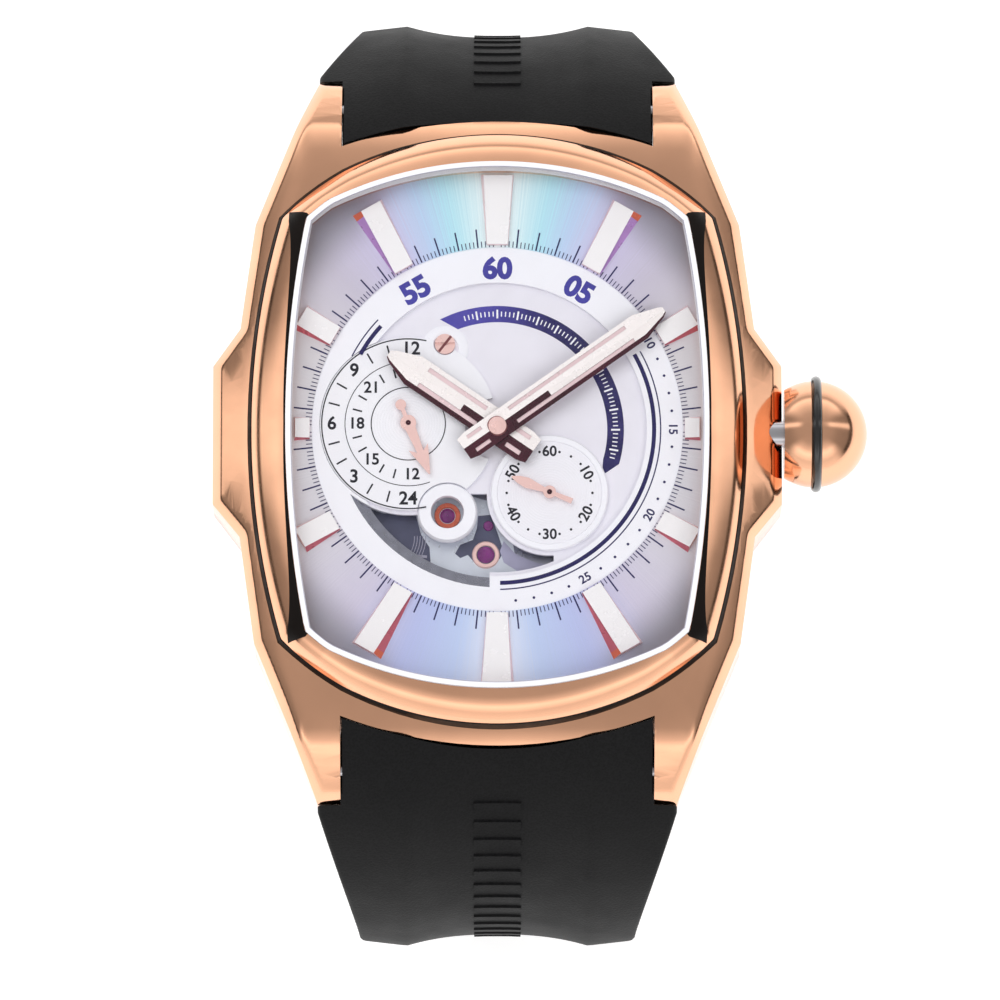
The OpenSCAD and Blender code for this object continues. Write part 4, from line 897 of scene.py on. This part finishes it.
def rounded_case():
    """Copy of the solid case with case_top as its upper side, creased where that meets the solid's faces."""
    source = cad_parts["case_middle"]
    bm = bmesh.new()
    bm.from_mesh(source.data)
    bm.transform(source.matrix_world)
    bmesh.ops.remove_doubles(bm, verts=bm.verts, dist=1e-7)
    mesh = made("case_body", bm)
    mesh.materials.clear()
    mesh.materials.append(M["rose"])
    mesh.polygons.foreach_set("material_index", [0] * len(mesh.polygons))
    case = placed("case_body", mesh)
    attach(case, "watch")
    block = mould()
    # The exact cut sometimes keeps the wrong side. Then the foot is gone, and it is made again
    for _ in range(CUT_TRIES):
        case.data = mesh
        add_boolean(case, "INTERSECT", block)
        apply_modifiers(case)
        if abs(lowest(case.data) - lowest(mesh)) < 0.1 * MM:
            break
    bpy.data.objects.remove(block)
    shade_smooth(case.data, 32)
    with opened(case.data) as bm:
        upper = {f for f in bm.faces if f.normal.z > 0.05 and on_top(f)}
        for e in bm.edges:
            if len({f in upper for f in e.link_faces}) > 1:
                e.smooth = False
    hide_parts("case_middle")


rounded_case()

# Bezel, crystal and the lines between them

FINE = 720
OUT, IN = bezel_plan(0, FINE), glass_plan(0.06, FINE)
CORNER_OUT = math.degrees(math.atan2(BEZEL_CORNER_Y, BEZEL_CORNER_X))
CORNER_IN = math.degrees(math.atan2(GLASS_CORNER_Y, GLASS_CORNER_X))
BULGE = 0.38
COLUMNS = 10
DARK_REFLECTION_Y = 17.3
CRYSTAL_T = 1.4


def bezel_z(t):
    """Height of the bezel's rounded slope, t of the way in from its foot."""
    return DIAL + BEZEL_FOOT + BEZEL_RISE * t + BULGE * math.sin(math.pi * t ** 0.8)


def on_slope(p, q, t):
    """Point of that slope between p at its foot and q at its inner edge."""
    k = 0.02 + 0.98 * t
    return (p[0] + (q[0] - p[0]) * k, p[1] + (q[1] - p[1]) * k, bezel_z(t))


def at(z, outline):
    """Outline of (x, y) at the height z."""
    return [(x, y, z) for x, y in outline]


def bezel():
    """Bezel with a rounded slope, a step under the crystal and a bore for its seal."""
    foot, step, seat = DIAL - 0.62, DIAL + 0.9, DIAL - 0.1
    lip, bore = glass_plan(-0.4, FINE), glass_plan(0.25, FINE)
    rings = [at(foot, bezel_plan(-0.03, FINE)), at(DIAL + 0.24, OUT)]
    rings += [[on_slope(p, q, i / 12) for p, q in zip(OUT, IN)] for i in range(13)]
    rings += [at(step, IN), at(step, lip), at(seat, lip), at(seat, bore), at(foot, bore)]
    ring = loops("bezel_ring", rings, "rose", smooth=34)
    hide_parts("bezel")


def bezel_inlay(name, sign):
    """Painted dark reflection along one side's inner edge: a thin black strip on the slope, wide towards the
    corners and out along each corner's crease.
    """
    lift, deep = 0.03, 0.12
    stations = []
    for p, q in zip(OUT, IN):
        x, y = p
        turn = math.degrees(math.atan2(abs(y), abs(x)))
        if sign * x < 0 or turn > CORNER_IN - 0.1:
            continue
        s = min(1.0, abs(y) / DARK_REFLECTION_Y)
        start = 1 - min(0.97, 0.05 + 0.08 * s + 0.32 * s ** 4 + 0.35 * s ** 12 + 0.17 * s ** 60)
        if turn > CORNER_OUT:
            start = max(0.03, (turn - CORNER_OUT) / (CORNER_IN - CORNER_OUT))
        row = [on_slope(p, q, 1.0 + (start - 1.0) * c / COLUMNS) for c in range(COLUMNS + 1)]
        stations.append((y, [(px, py, pz + lift) for px, py, pz in row]))
    stations.sort()
    verts, faces = [], []
    for _, row in stations:
        verts += row + [(px, py, pz - deep) for px, py, pz in reversed(row)]
    n = 2 * COLUMNS + 2
    for k in range(len(stations) - 1):
        faces += belt(n * k, n * (k + 1), n)
    faces += [list(reversed(range(n))), [len(verts) - n + i for i in range(n)]]
    piece(name, verts, faces, "groove")


def seam_ring(grow, z, ends=0.0):
    """Ring round the bezel's foot, wider inward by ends at 12 and 6. Without z it lies on the case."""
    out = []
    for x, y in bezel_plan(grow, FINE):
        k = 1 - ends * max(0.0, 1 - abs(x) / 17) / math.hypot(x, y)
        out.append((x * k, y * k, case_top(x, y) + 0.03 if z is None else z))
    return out


def dome(x, y):
    """Height of the crystal's outside."""
    return DIAL + CRYSTAL_TOP - (x * x + y * y) / (2 * DOME_R)


def crystal():
    """Domed crystal: rings out from its middle and back in below, with one face at each end."""
    edge = glass_plan(-0.01)
    shares = [1 - 0.07 * i for i in range(13)]
    plans = [[(x * k, y * k) for x, y in edge] for k in shares]
    rings = [[(x, y, dome(x, y)) for x, y in plan] for plan in reversed(plans)]
    rings += [[(x, y, max(dome(x, y) - CRYSTAL_T, DIAL + 0.96)) for x, y in plan] for plan in plans]
    top = loops("crystal_dome", rings, "glass")
    n, rows = len(edge), len(rings)
    with opened(top.data) as bm:
        bm.verts.ensure_lookup_table()
        across = [f for f in bm.faces if {v.index // n for v in f.verts} == {0, rows - 1}]
        bmesh.ops.delete(bm, geom=across, context="FACES_ONLY")
        bm.faces.new([bm.verts[i] for i in range(n)])
        bm.faces.new([bm.verts[(rows - 1) * n + i] for i in reversed(range(n))])
        bmesh.ops.recalc_face_normals(bm, faces=bm.faces)
    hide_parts("crystal")


def rim(name, outer, inner, lift, mat):
    """Thin ring on the crystal between two outlines."""
    section = ((outer, -0.1), (outer, lift), (inner, lift), (inner, -0.1))
    rings = [[(x, y, dome(x, y) + z) for x, y in glass_plan(grow)] for grow, z in section]
    loops(name, rings, mat)


bezel()
bezel_inlay("painted_bezel_reflection_left", -1)
bezel_inlay("painted_bezel_reflection_right", 1)
seam_low = DIAL - 0.9
loops("bezel_seam", [seam_ring(-0.06, seam_low), seam_ring(0.24, seam_low), seam_ring(0.24, None),
                     seam_ring(0.03, DIAL + 0.27), seam_ring(-0.02, DIAL + 0.34, 0.1),
                     seam_ring(-0.06, DIAL + 0.3, 0.2)], "groove")
crystal()
rim("crystal_rim", 0.03, -0.36, 0.012, "rim")
rim("crystal_line", -0.36, -0.41, 0.01, "grey")

# Strap halves

# Centres and radii of its two arcs, above and below its widest point, and its thickness
UP_Y, LOW_Y, LOOP_Z = 10.7, 9.8, 28.0
R_UP, R_LOW, THICK = 26.3, 27.2, 3.8
CLASP_L = 16
END_A = math.degrees(math.asin((CLASP_L - LOW_Y - 1.6) / R_LOW))
# Half widths at the lugs, at the end of the fast taper and at the clasp, and the heights where they hold
WIDE_X, WIDE_Z = LUG_X, DIAL - 5.4
NECK_X, NECK_12, NECK_6 = 11.0, LOOP_Z + 6, LOOP_Z - 2
END_X, END_Z = 9.8, 8.35
HOLLOW_W, HOLLOW_D = 7.2, 0.9


def half_width(z, neck_z):
    if z >= neck_z:
        return NECK_X + (WIDE_X - NECK_X) * min(1.0, (z - neck_z) / (WIDE_Z - neck_z)) ** 2
    return END_X + (NECK_X - END_X) * max(0.0, (z - END_Z) / (neck_z - END_Z))


def crest(x):
    """Height of the outside over its two ridges, which is 0 or less."""
    x = abs(x)
    if x < HOLLOW_W:
        return -HOLLOW_D * (1 - (x / HOLLOW_W) ** 2.4)
    return -HOLLOW_D * (x - HOLLOW_W) / 7.9


def spine(a):
    """Centre, radius and direction of the strap's outside at a degrees, 0 down and 90 outward."""
    cy, r = (UP_Y, R_UP) if a >= 90 else (LOW_Y, R_LOW)
    return cy, r, math.sin(math.radians(a)), -math.cos(math.radians(a))


def strap_ring(a, neck_z):
    """Section of the strap at a degrees: the outside, one rounded side, the inside and the other side."""
    cy, r, uy, uz = spine(a)
    c, n = 0.4, 44
    w = half_width(LOOP_Z + uz * r, neck_z) - 0.001
    outside = [-(w - c) + 2 * (w - c) * i / n for i in range(n + 1)]
    edge, base = r + crest(w - c), r - THICK
    bends = [math.radians(30 * k) for k in range(4)]
    side = [(w - c + c * math.sin(t), edge - c + c * math.cos(t)) for t in bends[1:]]
    side.append((w, (edge + base) / 2))
    side += [(w - c + c * math.cos(t), base + c - c * math.sin(t)) for t in bends[:3]]
    pts = [(x, r + crest(x)) for x in outside] + side
    pts += [((w - c) * (1 - i / 4), base) for i in range(9)] + [(-x, q) for x, q in reversed(side)]
    return [(x, cy + uy * q, LOOP_Z + uz * q) for x, q in pts]


def cutter(x0, x1, y0, y1, z0, z1):
    """Box between two corners, for carve."""
    bm = bmesh.new()
    bmesh.ops.create_cube(bm, size=1)
    for v in bm.verts:
        v.co = Vector(((x0 + x1) / 2 + v.co.x * (x1 - x0), (y0 + y1) / 2 + v.co.y * (y1 - y0),
                       (z0 + z1) / 2 + v.co.z * (z1 - z0))) * MM
    return bm


def drum(r, cy, z0, z1):
    """Upright cylinder, for carve."""
    bm = bmesh.new()
    bmesh.ops.create_cone(bm, cap_ends=True, segments=360, radius1=r * MM, radius2=r * MM,
                          depth=(z1 - z0) * MM)
    bmesh.ops.translate(bm, verts=bm.verts, vec=Vector((0, cy, (z0 + z1) / 2)) * MM)
    return bm


def carve(obj, cutters):
    """Takes the cutters out of obj for good."""
    tools = []
    for bm in cutters:
        tools.append(placed("cut", made("cut", bm)))
        add_boolean(obj, "DIFFERENCE", tools[-1])
    apply_modifiers(obj)
    for tool in tools:
        bpy.data.objects.remove(tool)


def half_turn(obj):
    """Turns a strap piece from the side of 12 o'clock to that of 6."""
    obj.data.transform(Matrix.Rotation(math.pi, 4, "Z"))


def strap(name, node, neck_z, slotted):
    """Strap half with room for the case and the lugs and, if slotted, for the clasp's hinge."""
    angles = [156 - 1.5 * i for i in range(44)] + [90 - (90 - END_A) * i / 52 for i in range(53)]
    rings = [strap_ring(a, neck_z) for a in angles]
    n = len(rings[0])
    verts = [v for ring in rings for v in ring]
    faces = [list(range(n)), list(reversed(range(len(verts) - n, len(verts))))]
    for k in range(len(rings) - 1):
        faces += belt(k * n, (k + 1) * n, n)
    obj = piece(name, verts, faces, "rubber")
    tongue_x, groove_x, groove_w = 12.23, 12.26, 0.16
    lug_low, lug_end = DIAL - CASE_DEPTH - LUG_DROP, 29.0
    top, deep = DIAL + 3, DIAL - 4.2
    end_r = arc_r(2.2, 12.25)
    tools = [cutter(x0, x1, -1, lug_end, lug_low, top) for x0, x1 in ((tongue_x, 20), (-20, -tongue_x))]
    tools.append(drum(end_r + 0.15, 24.9 - end_r, lug_low, top))
    tools += [cutter(x - groove_w, x + groove_w, -1, lug_end, deep, top) for x in (-groove_x, groove_x)]
    if slotted:
        tools.append(cutter(-2.2, 2.2, 11, 18, -1, 8))
    carve(obj, tools)
    shade_smooth(obj.data, 38)
    if not slotted:
        half_turn(obj)
    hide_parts(node)


def ribs(name, upper):
    """Raised grip ribs along the middle of the hollow."""
    count, pitch, foot, high = 18, 4.2, -0.1, 0.16
    across = (-1.85, -1.0, 0.0, 1.0, 1.85)
    verts, faces = [], []
    for k in range(count):
        a0, k0 = 135 - k * pitch, len(verts)
        for a, lift in ((a0, foot), (a0 - 0.25, high), (a0 - 2.0, high), (a0 - 2.25, foot)):
            cy, r, uy, uz = spine(a)
            reach = [r + crest(x) + lift for x in across]
            verts += [(x, cy + uy * q, LOOP_Z + uz * q) for x, q in zip(across, reach)]
        for i in (k0, k0 + 5, k0 + 10):
            faces += [[i + j, i + j + 1, i + j + 6, i + j + 5] for j in range(4)]
        faces += [[k0, k0 + 5, k0 + 10, k0 + 15], [k0 + 19, k0 + 14, k0 + 9, k0 + 4],
                  [k0 + i for i in (15, 16, 17, 18, 19, 4, 3, 2, 1, 0)]]
    obj = piece(name, verts, faces, "rubber")
    if not upper:
        half_turn(obj)


strap("strap_upper", "strap_12", NECK_12, True)
strap("strap_lower", "strap_6", NECK_6, False)
ribs("strap_ribs_upper", True)
ribs("strap_ribs_lower", False)

for name, width in (("clasp_cover", 0.12), ("case_back", 0.1), ("crown", 0.08), ("dual_time_hand", 0.05),
                    ("seconds_hand", 0.05), ("clasp_base", 0.08), ("clasp_blade", 0.08),
                    ("train_bridge", 0.05), ("rotor", 0.06)):
    soften(name, width)

# Floor, which camera, metal and glass see as white, and which keeps the watch's shadow
floor = placed("floor", bpy.data.meshes.new("floor"))
floor.data.from_pydata([(-3, -3, 0), (3, -3, 0), (3, 3, 0), (-3, 3, 0)], [], [(0, 1, 2, 3)])
pale = Material("pale_floor")
path = pale.node("ShaderNodeLightPath").outputs
mirrored = pale.math("MAXIMUM", path["Is Glossy Ray"], path["Is Transmission Ray"])
seen = pale.math("MAXIMUM", path["Is Camera Ray"], mirrored)
glow = pale.node("ShaderNodeEmission", Strength=pale.times(seen, 0.62))
pale.set(Base_Color=pale.mix(pale.noise(3), rgb(214, 214, 214), rgb(218, 218, 218)), Roughness=0.9)
add = pale.node("ShaderNodeAddShader")
pale.feed(add.inputs[0], pale.shader.outputs[0])
pale.feed(add.inputs[1], glow.outputs[0])
pale.surface(add.outputs[0])
floor.data.materials.append(pale.mat)

# World: a soft dome of light, bright bands low over 12 and 6 o'clock, and a narrow bright strip at each side
PEAK = 1.6
STRIP_NORTH = 0.19
world = bpy.data.worlds.new("studio")
bpy.context.scene.world = world
world.use_nodes = True
sky = Nodes(world.node_tree, "Generated")
east, north, height = sky.xyz()


def by_height(stops):
    """Strength that follows the height, over PEAK."""
    return sky.ramp(height, [(place, (v / PEAK,) * 3 + (1,)) for place, v in stops])


def between(factor, a, b):
    return sky.math("ADD", a, sky.times(factor, sky.math("SUBTRACT", b, a)))


along = sky.math("DIVIDE", north, sky.math("MAXIMUM", sky.length(east, north), 1e-4))
ends = sky.span(sky.math("ABSOLUTE", along), 0.45, 0.8, smooth=True)
off_strip = sky.math("ABSOLUTE", sky.math("SUBTRACT", north, STRIP_NORTH))
above, below = sky.span(height, 0.1, 0.17, smooth=True), sky.span(height, 0.93, 0.78, smooth=True)
strips = sky.times(sky.span(off_strip, 0.12, 0.02, smooth=True), sky.times(above, below))
upper = by_height([(0, 1.0), (0.08, 0.9), (0.15, 0.5), (0.22, 0.6), (0.33, 1.5), (0.45, 1.15),
                   (0.6, 0.85), (0.8, 0.55), (1, 0.46)])
lower = by_height([(0, 1.1), (0.15, 1.0), (0.27, 0.9), (0.4, 1.2), (0.55, 1.5), (0.68, 0.9),
                   (0.85, 0.5), (1, 0.46)])
sides = by_height([(0, 0.06), (0.12, 0.08), (0.2, 0.28), (0.6, 0.34), (0.8, 0.44), (1, 0.46)])
level = between(ends, sides, between(sky.span(along, -0.3, 0.3, smooth=True), lower, upper))
level = sky.math("ADD", sky.times(level, PEAK), sky.times(strips, 0.9))
background = world.node_tree.nodes["Background"]
sky.feed(background.inputs["Strength"], level)
background.inputs["Color"].default_value = (1.0, 0.985, 0.965, 1)


# Lamps and camera

WATCH_Z = 0.045
CAMERA_AWAY, CAMERA_UP = 0.9, 79
AIM = (0.21, -5.69, DIAL)


def lamp(name, place, size, power):
    """Soft lamp that faces the watch and doesn't show in its metal."""
    light = bpy.data.lights.new(name, "AREA")
    light.shape = "RECTANGLE"
    light.size, light.size_y = size
    light.energy = power
    obj = placed(name, light)
    obj.visible_glossy = False
    obj.location = place
    obj.rotation_euler = (Vector((0, 0, WATCH_Z)) - Vector(place)).to_track_quat("-Z", "Y").to_euler()


lamp("key", (-0.24, 0.2, 0.64), (0.5, 0.5), 1.8)
lamp("fill", (0.3, -0.24, 0.56), (0.5, 0.4), 1.15)

camera = placed("camera", bpy.data.cameras.new("camera"))
camera.data.sensor_width = 36
camera.data.lens = 415
camera.data.clip_start, camera.data.clip_end = 0.05, 10
elevation = math.radians(CAMERA_UP)
away = Vector((0, -math.cos(elevation), math.sin(elevation)))
camera.location = Vector(AIM) * MM + away * CAMERA_AWAY
camera.rotation_euler = away.to_track_quat("Z", "Y").to_euler()
bpy.context.scene.camera = camera
bpy.context.scene.view_settings.view_transform = "Standard"
